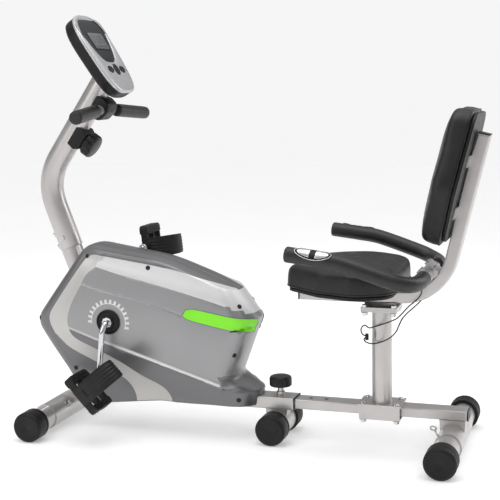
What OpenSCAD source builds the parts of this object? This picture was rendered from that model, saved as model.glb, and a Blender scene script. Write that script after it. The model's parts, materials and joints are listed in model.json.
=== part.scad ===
// Recumbent exercise bike, built as separate pieces in one frame.
// +X runs from the pedals to the seat, +Y to the rider's right, +Z up; the floor is z = 0.
// Side-view positions are given from the front stabilizer's axis and moved by frame_shift.

/* [Base] */
// Radius of the rubber end caps on the three cross tubes
cap_r = 40; // [36:0.5:44]
// Length of one end cap
cap_len = 52; // [40:1:60]
// Half length of the front cross tube, over its caps
front_half = 224; // [200:1:240]
// Half length of the middle cross tube, over its caps
mid_half = 92; // [86:1:100]
// Half length of the rear cross tube, over its caps
rear_half = 228; // [200:1:240]
// Distance from the front to the middle cross tube
mid_x = 624; // [615:1:635]
// Distance from the front to the rear cross tube, seat at rest
rear_x = 1077; // [1070:1:1082]

/* [Crank and flywheel] */
// Crank length, from the axle to the pedal spindle
crank_len = 168; // [160:1:172]
// How far the left crank leans forward of straight down
crank_lean = 6; // [0:1:10]
// Height of the crank axle
crank_z = 303; // [300:1:306]
// Radius of the drive pulley
pulley_r = 104; // [90:1:106]
// Radius of the flywheel
flywheel_r = 105; // [95:1:106]
// Half width of the shroud at the crank
shroud_w = 86; // [82:1:90]

/* [Seat] */
// Height of the seat frame's lower face
seat_z = 373; // [370:1:376]
// Lean of the backrest from upright
back_lean = 14; // [10:1:18]
// Distance between neighbouring holes in the slide rail
hole_pitch = 41; // [38:1:44]
// Half distance between the two armrests
arm_y = 225; // [215:1:230]

/* [Console] */
// Lean of the console's face from upright
console_lean = 32; // [25:1:40]
// Half height of the console
console_half = 119; // [110:1:125]

/* [Hidden] */
frame_shift = -555.5;
gap = 0.15;

// Cross tubes
tube_r = 31;
tube_wall = 2;
sleeve_r = 34;
front_sleeve = 120;
rear_sleeve = 100;

// Keel (the rail's socket) and the slide rail
keel_w = 60;
keel_h = 32;
keel_z = 97;
keel_x0 = 95;
keel_x1 = 671;
keel_wall = 2;
rail_w = 50;
rail_h = 25;
rail_x0 = 470;
rail_x1 = 1113;
lock_x = 629;
pin_r = 5;

// Mast: two straight stretches joined by one bend
mast_r = 31;
mast_wall = 2;
stub_r = 28.7;
mast_low = 20;
mast_up = 35;
bend_r = 145;
mast_vx = -27;
mast_vz = 670;
mast_z0 = 487;
mast_top = 232;
bend_t = bend_r * tan((mast_low + mast_up) / 2);
low_x = mast_vx + bend_t * sin(mast_low);
low_z = mast_vz - bend_t * cos(mast_low);
up_x = mast_vx + bend_t * sin(mast_up);
up_z = mast_vz + bend_t * cos(mast_up);
bend_cx = low_x + bend_r * cos(mast_low);
bend_cz = low_z + bend_r * sin(mast_low);
low_len = (low_z - mast_z0) / cos(mast_low);
stub_len = (mast_z0 + 70 - keel_z) / cos(mast_low);

// Parts on the upper mast, by their distance up from the bend
bar_t = 183;
bar_n = 43.6;
knob_t = 81.5;
knob_r = 29;
dial_r = 33;

// Crank, pedals and flywheel
crank_x = 182;
axle_r = 8;
arm_r = 7.5;
shell_r = 22;
bearing_r = 17;
crank_y = 122;
pulley_y = 46;
pulley_w = 12;
spindle_r = 7;
pedal_y = 179;
pedal_half = 46;
pedal_pitches = [48, 84];
strap_heights = [102, 86];
strap_shifts = [-12, 14];
wheel_x = 395;
wheel_z = 262;
wheel_y = -3;
wheel_w = 34;
wheel_pulley_r = 18;
wheel_axle_r = 6;
lever_x = 338;
lever_z = 388;

// Seat post, frame and pads
post_x = 897;
post_r = 25.5;
plate_z = 109.8;
frame_w = 50;
frame_h = 30;
frame_x0 = 690;
frame_bend_x = 950;
frame_in_r = 110;
frame_up_len = 313;
bend_z = seat_z + frame_in_r + frame_h;
bend_deg = 90 - back_lean;
arm_angle = 48;
arm_bar_r = 12.5;

// Console face, in its own frame: x down the face, y across, z out of it
face_x = 166;
face_z = 1004.7;
case_depth = 24;
bezel_depth = 9;

// Routes of the free leads and of the arm tube, on the rider's left
arm_path = [[1018, -98, 452], [1018, -130, 451], [1014, -160, 450], [1004, -186, 451],
            [988, -205, 455], [966, 9 - arm_y, 463], [930, 4 - arm_y, 475], [885, 1 - arm_y, 490],
            [850, -arm_y, 501], [828, -arm_y, 506], [800, -arm_y, 510], [715, -arm_y, 521]];
lead_left = [[1014, -96, 434], [1013, -88, 424], [1009, -76, 411], [1000, -60, 397],
             [988, -47, 384], [972, -39, 370], [956, -36, 352], [942, -35, 338],
             [925, -34, 329], [905, -33, 321], [886, -32, 314], [872, -32, 310],
             [862, -32, 316], [854, -32, 312], [851, -32, 303], [854, -32, 294],
             [860, -32, 290], [865, -32, 289]];
lead_right = [[1014, 96, 434], [1013, 88, 424], [1009, 72, 409], [1002, 52, 392],
              [992, 30, 374], [978, 8, 360], [964, -14, 348], [954, -28, 336],
              [948, -36, 322], [941, -38, 306], [928, -38, 291], [910, -37, 280],
              [892, -36, 273], [876, -35, 271], [864, -34, 274], [859, -33, 280],
              [861, -32, 284], [865, -32, 285]];
lead_r = 1.7;

silver = [0.76, 0.75, 0.74];
black = [0.10, 0.10, 0.11];
chrome = [0.85, 0.85, 0.87];
steel = [0.55, 0.56, 0.58];

// ---------------------------------------------------------------- helpers

module placed() translate([frame_shift, 0, 0]) children();

// Children stand on p and point at q along their own z
module along(p, q) {
    d = q - p;
    translate(p) rotate([0, acos(d[2] / norm(d)), atan2(d[1], d[0])]) children();
}
module rod(p, q, r) along(p, q) cylinder(r = r, h = norm(q - p), $fn = 48);
module across(x, y, z, r, h) translate([x, y, z]) rotate([-90, 0, 0]) cylinder(r = r, h = h, $fn = 64);
// A side profile in x and z, as thick as w, from y upwards
module side(y, w) translate([0, y + w, 0]) rotate([90, 0, 0]) linear_extrude(w) children();
module block(x0, x1, y0, y1, z0, z1) translate([x0, y0, z0]) cube([x1 - x0, y1 - y0, z1 - z0]);
module both() { children(); mirror([0, 1, 0]) children(); }

function cross_unit(a, b) = let (c = cross(a, b)) c / norm(c);
// Unit direction of a route at its i-th point
function way(p, i) = let (n = len(p) - 1, d = p[min(i + 1, n)] - p[max(i - 1, 0)]) d / norm(d);
function ring(p, i, r, n, lean) = let (t = way(p, i), u = cross_unit(t, lean), v = cross(u, t))
    [for (k = [0 : n - 1]) p[i] + r * (cos(360 * k / n) * u + sin(360 * k / n) * v)];
// A round bar, or a sleeve where ri is above 0, swept along a route
module sweep(p, r, n, ri = 0, lean = [0, 0, 1]) {
    m = len(p);
    outer = [for (i = [0 : m - 1]) each ring(p, i, r, n, lean)];
    inner = ri > 0 ? [for (i = [0 : m - 1]) each ring(p, i, ri, n, lean)] : [];
    o = m * n;
    e = (m - 1) * n;
    walls = [for (i = [0 : m - 2], k = [0 : n - 1]) let (a = i * n + k, b = i * n + (k + 1) % n)
             each [[a, a + n, b + n], [a, b + n, b]]];
    bores = [for (w = walls) [for (j = [2 : -1 : 0]) w[j] + o]];
    caps = ri > 0
        ? [for (k = [0 : n - 1]) let (j = (k + 1) % n) each [[k, j, j + o, k + o],
                                                            [e + j, e + k, e + k + o, e + j + o]]]
        : [[for (k = [0 : n - 1]) k], [for (k = [n - 1 : -1 : 0]) e + k]];
    polyhedron(points = concat(outer, inner), faces = concat(walls, ri > 0 ? bores : [], caps));
}

// A closed outline with its corners [x, z, radius] rounded by arcs of n steps
function corner_arc(a, b, c, r, n) = let (
    u = (a - b) / norm(a - b), v = (c - b) / norm(c - b), half = acos(u * v) / 2,
    t = min(r / tan(half), 0.49 * norm(a - b), 0.49 * norm(c - b)), rr = t * tan(half),
    m = (u + v) / norm(u + v), o = b + m * rr / sin(half), p = b + u * t - o, q = b + v * t - o,
    a0 = atan2(p[1], p[0]), turn = atan2(p[0] * q[1] - p[1] * q[0], p * q))
    [for (k = [0 : n]) o + rr * [cos(a0 + turn * k / n), sin(a0 + turn * k / n)]];
function xy(p) = [p[0], p[1]];
function rounded(c, n = 5) = let (m = len(c)) [for (i = [0 : m - 1])
    each corner_arc(xy(c[(i + m - 1) % m]), xy(c[i]), xy(c[(i + 1) % m]), c[i][2], n)];
// The outline moved inwards by d (points run clockwise in x and z)
function inset(p, d) = let (m = len(p)) [for (i = [0 : m - 1]) let (
    t = p[(i + 1) % m] - p[(i + m - 1) % m], l = norm(t)) p[i] + d * [t[1], -t[0]] / l];

// ---------------------------------------------------------------- cross tubes

module end_cap(x, half) translate([x, half, cap_r]) rotate([90, 0, 0])
    rotate_extrude($fn = 64) polygon([[0, 0], [cap_r - 6, 0], [cap_r - 1.5, 2], [cap_r, 7],
        [cap_r, cap_len - 3], [cap_r - 2, cap_len], [tube_r + gap, cap_len], [tube_r + gap, 6],
        [0, 6]]);
module cap_pair(x, half) color(black) placed() both() end_cap(x, half);

module cross_tube(x, half, sleeve) difference() {
    union() {
        across(x, -half + 8, cap_r, tube_r, 2 * half - 16);
        across(x, -sleeve, cap_r, sleeve_r, 2 * sleeve);
    }
    across(x, -half, cap_r, tube_r - tube_wall, 2 * half);
}

bolt_y = 45;
bolt_tilt = 35;
module front_bolt(y, r) translate([0, y, cap_r]) rotate([0, 90 - bolt_tilt, 0])
    translate([0, 0, -40]) cylinder(r = r, h = 86, $fn = 32);
module front_stabilizer() color(silver) placed() difference() {
    cross_tube(0, front_half, front_sleeve);
    both() front_bolt(bolt_y, 4.2);
}
module front_caps() cap_pair(0, front_half);

module mid_stabilizer() color(silver) placed() {
    difference() {
        union() {
            cross_tube(mid_x, mid_half, mid_half - cap_len - 0.5);
            side(-25, 50) polygon([[mid_x - 26, 55], [mid_x - 30, keel_z - keel_h / 2 - gap],
                                   [mid_x + 30, keel_z - keel_h / 2 - gap], [mid_x + 26, 55]]);
        }
        across(mid_x, -mid_half, cap_r, tube_r - tube_wall, 2 * mid_half);
    }
}
module mid_caps() cap_pair(mid_x, mid_half);

// ---------------------------------------------------------------- main frame

module keel() color(silver) placed() difference() {
    union() {
        block(keel_x0, keel_x1, -keel_w / 2, keel_w / 2, keel_z - keel_h / 2, keel_z + keel_h / 2);
        // Goose neck down to the front cross tube
        side(-25, 50) polygon([[-8, 72], [10, 84], [keel_x0 + 5, keel_z + keel_h / 2 - 1],
                               [keel_x0 + 5, keel_z - keel_h / 2 + 1], [40, 58], [30, 52]]);
        // Threaded collar of the lock knob
        translate([lock_x, 0, keel_z + keel_h / 2 - 1]) cylinder(r = 11, h = 11, $fn = 48);
    }
    block(keel_x0 + 40, keel_x1 + 1, -keel_w / 2 + keel_wall, keel_w / 2 - keel_wall,
          keel_z - keel_h / 2 + keel_wall, keel_z + keel_h / 2 - keel_wall);
    across(0, -40, cap_r, sleeve_r + gap, 80);
    translate([lock_x, 0, keel_z]) cylinder(r = pin_r + 0.1, h = 60, $fn = 48);
}

// Children stand on the lower mast's axis, a distance up from the bend's start (negative is down)
module low_line(t) translate([low_x - t * sin(mast_low), 0, low_z + t * cos(mast_low)])
    rotate([0, -mast_low, 0]) children();
// Children stand on the upper mast's axis, a distance up from the bend's end
module up_line(t) translate([up_x + t * sin(mast_up), 0, up_z + t * cos(mast_up)])
    rotate([0, mast_up, 0]) children();

side_bolt_t = -low_len + 30;
front_bolt_ts = [-low_len + 14, -low_len + 48];
module stub_holes(r) {
    low_line(side_bolt_t) rotate([90, 0, 0]) cylinder(r = r, h = 80, center = true, $fn = 32);
    for (t = front_bolt_ts) low_line(t) rotate([0, -90, 0]) cylinder(r = r, h = 50, $fn = 32);
}
module front_post() color(silver) placed() difference() {
    union() {
        low_line(-low_len + 70 - stub_len) cylinder(r = stub_r, h = stub_len, $fn = 64);
        across(crank_x, -34, crank_z, shell_r, 68);
        side(-20, 40) polygon([[crank_x - 62, crank_z - 30], [crank_x - 80, crank_z + 25],
                               [crank_x - 8, crank_z + 18], [crank_x - 8, crank_z - 18]]);
    }
    low_line(-low_len + 70 - stub_len - 1)
        cylinder(r = stub_r - 2.5, h = stub_len + 2, $fn = 64);
    across(crank_x, -40, crank_z, bearing_r + 0.05, 80);
    block(0, 300, -60, 60, 0, keel_z + keel_h / 2 + gap);
    stub_holes(4.2);
}

module tube(r, h) difference() {
    cylinder(r = r, h = h, $fn = 64);
    translate([0, 0, -1]) cylinder(r = r - mast_wall, h = h + 2, $fn = 64);
}
// The mast ends against the back of the console
module mast() color(silver) placed() difference() {
    translate([bend_cx, 0, bend_cz]) rotate([90, 0, 0]) rotate([0, 0, 180 - mast_up]) {
        rotate_extrude(angle = mast_low + mast_up, $fn = 96) translate([bend_r, 0]) difference() {
            circle(r = mast_r, $fn = 64);
            circle(r = mast_r - mast_wall, $fn = 64);
        }
        translate([bend_r, 0, 0]) rotate([90, 0, 0]) tube(mast_r, mast_top + 60);
        rotate([0, 0, mast_low + mast_up]) translate([bend_r, 0, 0]) rotate([-90, 0, 0])
            tube(mast_r, low_len);
    }
    on_face() translate([-200, -200, -case_depth - bezel_depth - gap]) cube([400, 400, 200]);
    stub_holes(4.2);
}

module nut(h = 6) cylinder(r = 7.5, h = h, $fn = 6);
module washer(r = 10) cylinder(r = r, h = 1.6, $fn = 40);
module dome() rotate_extrude($fn = 40)
    polygon([[0, 0], [8, 0], [7.4, 1.8], [5.5, 3.6], [2.8, 4.5], [0, 4.8]]);

module frame_bolts() color(chrome) placed() {
    for (s = [-1, 1]) translate([0, s * bolt_y, cap_r]) rotate([0, 90 - bolt_tilt, 0]) {
        translate([0, 0, -sleeve_r]) cylinder(r = 4, h = 2 * sleeve_r + 11, $fn = 32);
        translate([0, 0, -sleeve_r - gap]) mirror([0, 0, 1]) dome();
        translate([0, 0, sleeve_r + gap]) washer(11);
        translate([0, 0, sleeve_r + 2]) nut();
    }
    for (s = [-1, 1]) low_line(side_bolt_t) rotate([s * 90, 0, 0]) {
        translate([0, 0, 22]) cylinder(r = 4, h = mast_r - 20, $fn = 32);
        translate([0, 0, mast_r + gap]) cylinder(r = 7, h = 4.5, $fn = 40);
    }
    for (t = front_bolt_ts) low_line(t) rotate([0, -90, 0]) {
        translate([0, 0, 22]) cylinder(r = 4, h = mast_r - 20, $fn = 32);
        translate([0, 0, mast_r + gap]) cylinder(r = 7, h = 4.5, $fn = 40);
    }
}

module flywheel_bracket() color(steel) placed() difference() {
    union() {
        for (y = [-34, 58]) side(y, 4) polygon([[wheel_x - 55, keel_z], [wheel_x - 16, wheel_z + 12],
            [wheel_x, wheel_z + 18], [wheel_x + 16, wheel_z + 12], [wheel_x + 45, keel_z]]);
        side(-34, 4) polygon([[wheel_x - 50, keel_z + 20], [lever_x - 12, lever_z - 6],
            [lever_x, lever_z + 12], [lever_x + 12, lever_z], [wheel_x - 10, wheel_z]]);
        block(wheel_x - 30, wheel_x + 30, keel_w / 2 + gap, 60, keel_z, keel_z + 6);
        block(wheel_x - 30, wheel_x + 30, -31, -keel_w / 2 - gap, keel_z, keel_z + 8);
        across(lever_x, -31, lever_z, 4, 50);
    }
    across(wheel_x, -40, wheel_z, wheel_axle_r + 0.05, 110);
}
module flywheel_axle() color(chrome) placed() {
    across(wheel_x, -44, wheel_z, wheel_axle_r, 116);
    across(wheel_x, -34 - gap - 6, wheel_z, 9.5, 6);
    across(wheel_x, 62 + gap, wheel_z, 9.5, 6);
}

// ---------------------------------------------------------------- drive

module flywheel() color(steel) placed() difference() {
    union() {
        across(wheel_x, wheel_y - wheel_w / 2, wheel_z, flywheel_r, wheel_w);
        across(wheel_x, -28, wheel_z, wheel_pulley_r, pulley_y + pulley_w / 2 + 28);
    }
    for (y = [wheel_y - wheel_w / 2 - 1, wheel_y + 5])
        translate([wheel_x, y, wheel_z]) rotate([-90, 0, 0]) difference() {
            cylinder(r = flywheel_r - 22, h = 13, $fn = 96);
            translate([0, 0, -1]) cylinder(r = 26, h = 15, $fn = 64);
        }
    across(wheel_x, -30, wheel_z, wheel_axle_r + 0.05, 90);
}
module magnet_lever() color(steel) placed() {
    difference() {
        union() {
            across(lever_x, -29, lever_z, 8, 36);
            side(-24, 30) difference() {
                translate([wheel_x, wheel_z]) circle(r = flywheel_r + 14, $fn = 120);
                translate([wheel_x, wheel_z]) circle(r = flywheel_r + 10, $fn = 120);
                polygon([[wheel_x, wheel_z], [wheel_x + 300, wheel_z + 60],
                         [wheel_x + 300, wheel_z - 300], [wheel_x - 300, wheel_z - 300],
                         [wheel_x - 300, wheel_z + 300], [wheel_x - 110, wheel_z + 300]]);
            }
            side(-20, 22) polygon([[lever_x - 4, lever_z - 6], [lever_x + 2, lever_z + 7],
                                   [wheel_x - 22, wheel_z + 118.5], [wheel_x - 26, wheel_z + 113.5]]);
        }
        across(lever_x, -40, lever_z, 4.05, 80);
    }
    color(black) for (a = [32, 47, 62, 77]) translate([wheel_x, -20, wheel_z])
        rotate([0, -a, 0]) translate([flywheel_r + 4, 0, -11]) cube([6 + gap, 22, 22]);
}
module drive_pulley() color(black) placed() difference() {
    across(crank_x, pulley_y - pulley_w / 2, crank_z, pulley_r, pulley_w);
    across(crank_x, 0, crank_z, axle_r + 0.05, 90);
    for (a = [0 : 60 : 300]) translate([crank_x + 62 * cos(a), 0, crank_z + 62 * sin(a)])
        rotate([-90, 0, 0]) cylinder(r = 20, h = 90, $fn = 48);
}
// Belt around both pulleys
belt_d = norm([wheel_x - crank_x, wheel_z - crank_z]);
belt_a = atan2(wheel_z - crank_z, wheel_x - crank_x);
module belt_outline(e) {
    c = acos((pulley_r - wheel_pulley_r) / belt_d);
    big = [for (k = [0 : 48]) let (a = c + (360 - 2 * c) * k / 48) (pulley_r + e) * [cos(a), sin(a)]];
    small = [for (k = [0 : 24]) let (a = -c + 2 * c * k / 24)
             [belt_d, 0] + (wheel_pulley_r + e) * [cos(a), sin(a)]];
    translate([crank_x, crank_z]) rotate(belt_a) polygon(concat(big, small));
}
module drive_belt() color(black) placed() side(pulley_y - 5, 10) difference() {
    belt_outline(3.3);
    belt_outline(0.5);
}
module crank_bearings() color(chrome) placed() both() difference() {
    across(crank_x, 22, crank_z, bearing_r, 12);
    across(crank_x, 20, crank_z, axle_r + 0.05, 20);
}

// One crank arm, for the rider's left
arm_end = [crank_x - crank_len * sin(crank_lean), -crank_y, crank_z - crank_len * cos(crank_lean)];
arm_knee = [crank_x, -104, crank_z];
arm_foot = [crank_x - 4, -118, crank_z - 22];
module crank_arm() {
    rod([crank_x, 0, crank_z], arm_knee, axle_r);
    translate(arm_knee) sphere(r = axle_r + 0.6, $fn = 48);
    rod(arm_knee, arm_foot, arm_r);
    translate(arm_foot) sphere(r = arm_r + 0.6, $fn = 48);
    rod(arm_foot, arm_end, arm_r);
    across(arm_end[0], -crank_y - 8, arm_end[2], 12.5, 16);
}
module turned_over() translate([crank_x, 0, crank_z]) rotate([0, 180, 0]) mirror([0, 1, 0])
    translate([-crank_x, 0, -crank_z]) children();
module crank() color(chrome) placed() difference() {
    union() {
        crank_arm();
        turned_over() crank_arm();
    }
    across(arm_end[0], -150, arm_end[2], spindle_r + 0.05, 40);
    turned_over() across(arm_end[0], -150, arm_end[2], spindle_r + 0.05, 40);
}
module spindle() {
    across(arm_end[0], -pedal_y - pedal_half + 2, arm_end[2], spindle_r, pedal_y + pedal_half - 116);
    across(arm_end[0], -132.5, arm_end[2], 10, 2.3);
}
module pedal_spindles() color(chrome) placed() {
    spindle();
    turned_over() spindle();
}

// A pedal in its own frame: x from toe to heel, y across, z out of the tread
module pedal_body() difference() {
    intersection() {
        union() {
            block(-46, 50, -pedal_half, pedal_half, -12, 12);
            rotate([90, 0, 0]) translate([-46, 0, -pedal_half])
                cylinder(r = 14, h = 2 * pedal_half, $fn = 48);
            block(40, 54, -pedal_half + 4, pedal_half - 4, -10, 14);
        }
        translate([0, 0, -20]) linear_extrude(40) polygon(rounded([[-60, -pedal_half, 17],
            [-60, pedal_half, 17], [54, pedal_half, 17], [54, -pedal_half, 17]]));
    }
    for (x = [-34, 14]) for (y = [-34, 4]) block(x, x + 20, y, y + 30, -20, 20);
    rotate([90, 0, 0]) cylinder(r = spindle_r + 0.05, h = 120, center = true, $fn = 64);
}
// Strap over the shoe, h high: wide on one side, a narrow tail shifted along the pedal on
// the other, and a way through for the spindle
function strap_arc(w, h) = [for (a = [0 : 10 : 180]) [w * cos(a), 22 + (h - 22) * sin(a)]];
function strap_band(h) = concat([[49, -8]], strap_arc(49, h), [[-49, -8], [-46.2, -8]],
                                strap_arc(-46.2, h - 2.8), [[46.2, -8]]);
module strap(h, shift) difference() {
    intersection() {
        translate([-28, 0, 0]) rotate([90, 0, 90]) linear_extrude(56) polygon(strap_band(h));
        translate([0, 0, -10]) linear_extrude(h + 20)
            polygon([[-25, -50], [-28, 0], [-28, 12], [shift - 14, 36], [shift - 14, 50],
                     [shift + 14, 50], [shift + 14, 36], [28, 12], [28, 0], [25, -50]]);
    }
    rotate([90, 0, 0]) cylinder(r = 10.6, h = 120, center = true, $fn = 48);
}
module on_pedal(s) translate([s < 0 ? arm_end[0] : 2 * crank_x - arm_end[0], s * pedal_y,
                              s < 0 ? arm_end[2] : 2 * crank_z - arm_end[2]])
    rotate([0, pedal_pitches[s < 0 ? 0 : 1], 0]) children();
module pedal_left() color(black) placed() on_pedal(-1) pedal_body();
module pedal_right() color(black) placed() on_pedal(1) pedal_body();
module strap_left() color(black) placed() on_pedal(-1) strap(strap_heights[0], strap_shifts[0]);
module strap_right() color(black) placed() on_pedal(1) strap(strap_heights[1], strap_shifts[1]);

// ---------------------------------------------------------------- shroud

// Corners of the shroud's side view, [x, z, radius]: at the seam in the middle, and at the side
seam_corners = [[-62, 292, 46], [104, 506, 44], [330, 470, 400], [526, 393, 10], [582, 318, 12],
                [522, 162, 14], [584, 128, 6], [578, 86, 4], [320, 86, 200], [92, 60, 12]];
side_corners = [[-6, 305, 44], [122, 482, 42], [330, 450, 400], [490, 401, 16], [524, 322, 16],
                [482, 168, 16], [508, 128, 8], [504, 92, 6], [320, 92, 200], [108, 68, 12]];
// Screws, by their place and the depth of their tip
screw_r = 4;
screw_spots = [[122, 466, 74], [292, 444, 74], [538, 352, 42], [528, 228, 42], [552, 112, 42]];
// Outline part of the way from the seam (0) to the side (1), and the layers that step between
function shroud_outline(t, e) = inset(rounded((1 - t) * seam_corners + t * side_corners), e);
shroud_layers = [[0, 0, 30], [0.25, 30, 54], [0.5, 54, 72], [1, 72, shroud_w]];
module shroud_solid(e) for (l = shroud_layers)
    side(-l[2] + e, l[2] - l[1] + (l[1] > 0 ? 0.01 : -gap)) polygon(shroud_outline(l[0], e));
module shroud_half() difference() {
    shroud_solid(0);
    translate([0, 1, 0]) shroud_solid(3);
    // Ways out for the frame and the crank
    block(-80, 200, -31, 5, 30, 95);
    block(60, 700, -keel_w / 2 - 0.6, 5, 60, keel_z + keel_h / 2 + 0.6);
    low_line(-200) cylinder(r = stub_r + 1.5, h = 300, $fn = 48);
    across(crank_x, -100, crank_z, 33, 60);
    for (s = screw_spots) across(s[0], -s[2] - 14, s[1], screw_r + 0.1, 14);
}
module shroud_left() color([0.62, 0.62, 0.63]) placed() shroud_half();
module shroud_right() color([0.62, 0.62, 0.63]) placed() mirror([0, 1, 0]) shroud_half();
module shroud_screws() color(black) placed() both() for (s = screw_spots)
    across(s[0], -s[2] - 12, s[1], screw_r, 9);

// Black cups around the crank axle
module crank_cups() color(black) placed() both() translate([crank_x, shroud_w + gap, crank_z])
    rotate([-90, 0, 0]) difference() {
        union() {
            cylinder(r = 33, h = 7, $fn = 64);
            translate([0, 0, -12]) cylinder(r = 32.5, h = 12, $fn = 64);
        }
        translate([0, 0, 3]) cylinder(r = 27, h = 10, $fn = 64);
        translate([0, 0, -20]) cylinder(r = 12, h = 40, $fn = 48);
    }

// ---------------------------------------------------------------- handlebar and knobs

bar_mid = [up_x + bar_t * sin(mast_up) + bar_n * cos(mast_up), 0,
           up_z + bar_t * cos(mast_up) - bar_n * sin(mast_up)];
bar_bend = bar_mid + [0, 36, 0];
bar_end = bar_mid + [21, 211, -14];
bar_way = (bar_end - bar_bend) / norm(bar_end - bar_bend);
module handlebar() color(silver) placed() {
    rod(bar_mid - [0, 36, 0], bar_bend, arm_bar_r);
    both() {
        translate(bar_bend) sphere(r = arm_bar_r, $fn = 48);
        rod(bar_bend, bar_end - 4 * bar_way, arm_bar_r);
    }
}
module grip() difference() {
    rod(bar_end - 152 * bar_way, bar_end, 17.3);
    rod(bar_end - 160 * bar_way, bar_end - 3.5 * bar_way, arm_bar_r + 0.1);
}
module grip_right() color(black) placed() grip();
module grip_left() color(black) placed() mirror([0, 1, 0]) grip();
module handlebar_clamp() color(black) placed() difference() {
    up_line(bar_t) translate([12, -28, -32]) cube([52, 56, 64]);
    up_line(0) cylinder(r = mast_r + 0.2, h = 300, $fn = 64);
    rod(bar_mid - [0, 40, 0], bar_mid + [0, 40, 0], arm_bar_r + 0.1);
}
module tension_housing() color(black) placed() difference() {
    up_line(knob_t) translate([6, -30, -31]) cube([40, 60, 62]);
    up_line(0) cylinder(r = mast_r + 0.2, h = 300, $fn = 64);
    up_line(knob_t) rotate([0, 90, 0]) cylinder(r = 4.05, h = 80, $fn = 48);
}
module tension_knob() color(black) placed() up_line(knob_t) rotate([0, 90, 0]) {
    translate([0, 0, 34]) cylinder(r = 4, h = 20, $fn = 48);
    translate([0, 0, 47]) difference() {
        cylinder(r = dial_r, h = 30, $fn = 96);
        for (a = [0 : 30 : 330]) rotate(a) translate([dial_r + 2.5, 0, 4])
            cylinder(r = 4.5, h = 40, $fn = 24);
    }
}
// Seat lock: ribbed knob on a spring pin, its tip just over the rail
module lock_knob() color(black) placed() translate([lock_x, 0, 0]) {
    translate([0, 0, keel_z + rail_h / 2 + 0.4]) cylinder(r = pin_r, h = 24, $fn = 48);
    translate([0, 0, keel_z + keel_h / 2 + 10.4]) cylinder(r = 8, h = 14, $fn = 48);
    translate([0, 0, keel_z + keel_h / 2 + 24]) difference() {
        cylinder(r = knob_r, h = 30, $fn = 96);
        for (a = [0 : 30 : 330]) rotate(a) translate([knob_r + 2.5, 0, -1])
            cylinder(r = 4.5, h = 26, $fn = 24);
    }
}
module rail_bush() color(black) placed() difference() {
    union() {
        block(keel_x1 - 26, keel_x1 + 1, -keel_w / 2 + 2.1, keel_w / 2 - 2.1,
              keel_z - keel_h / 2 + 2.1, keel_z + keel_h / 2 - 2.1);
        block(keel_x1 + gap, keel_x1 + 3, -keel_w / 2, keel_w / 2, keel_z - keel_h / 2, keel_z + keel_h / 2);
    }
    block(keel_x1 - 40, keel_x1 + 9, -rail_w / 2 - 0.1, rail_w / 2 + 0.1,
          keel_z - rail_h / 2 - 0.1, keel_z + rail_h / 2 + 0.1);
}

// ---------------------------------------------------------------- console

module on_face() translate([face_x, 0, face_z]) rotate([0, 90 - console_lean, 0]) children();
// Closed outline of the console, wider at the top (low x), drawn in by d
function console_pts(d, n = 60) = [for (k = [0 : n - 1]) let (a = 360 * k / n, c = cos(a), s = sin(a),
    x = (console_half - d) * sign(c) * pow(abs(c), 0.72), w = 79 - 0.15 * x - d)
    [x, w * sign(s) * pow(abs(s), 0.72)]];
function window_pts(d, n = 48) = [for (k = [0 : n - 1]) let (a = 360 * k / n, c = cos(a), s = sin(a),
    x = -38 + (66 - d) * sign(c) * pow(abs(c), 0.62), w = 52 - 0.33 * (x + 38) + 12 - d)
    [x, w * sign(s) * pow(abs(s), 0.55)]];
module console_case() color(black) placed() {
    difference() {
        union() {
            on_face() translate([0, 0, -case_depth - bezel_depth]) linear_extrude(case_depth)
                polygon(console_pts(1));
            difference() {
                up_line(mast_top - 30) cylinder(r = mast_r - mast_wall - 0.2, h = 80, $fn = 64);
                on_face() translate([-200, -200, -case_depth - bezel_depth + 1]) cube([400, 400, 200]);
            }
        }
        on_face() translate([0, 0, -case_depth - bezel_depth + 3]) linear_extrude(case_depth)
            polygon(console_pts(4));
    }
}
button_x = 52;
button_ys = [-36, 0, 36];
module console_bezel() color(silver) placed() on_face() difference() {
    translate([0, 0, -bezel_depth + gap]) linear_extrude(bezel_depth - gap) polygon(console_pts(0));
    translate([0, 0, -bezel_depth]) linear_extrude(bezel_depth - 3) polygon(console_pts(3));
    translate([0, 0, -2]) linear_extrude(4) polygon(window_pts(0));
    translate([0, 0, -5]) linear_extrude(6) polygon(window_pts(8));
    for (y = button_ys) translate([button_x, y, -8]) cylinder(r = 11.4, h = 12, $fn = 64);
}
module console_window() color([0.25, 0.27, 0.29]) placed() on_face()
    translate([0, 0, -2 + gap]) linear_extrude(2.2) polygon(window_pts(0.4));
module button(i) color(black) placed() on_face() translate([button_x, button_ys[i], -4]) {
    cylinder(r = 11, h = 6.5, $fn = 64);
    translate([0, 0, -1.8]) cylinder(r = 13, h = 2, $fn = 64);
}
module button_left() button(0);
module button_center() button(1);
module button_right() button(2);

// ---------------------------------------------------------------- seat carriage

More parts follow.
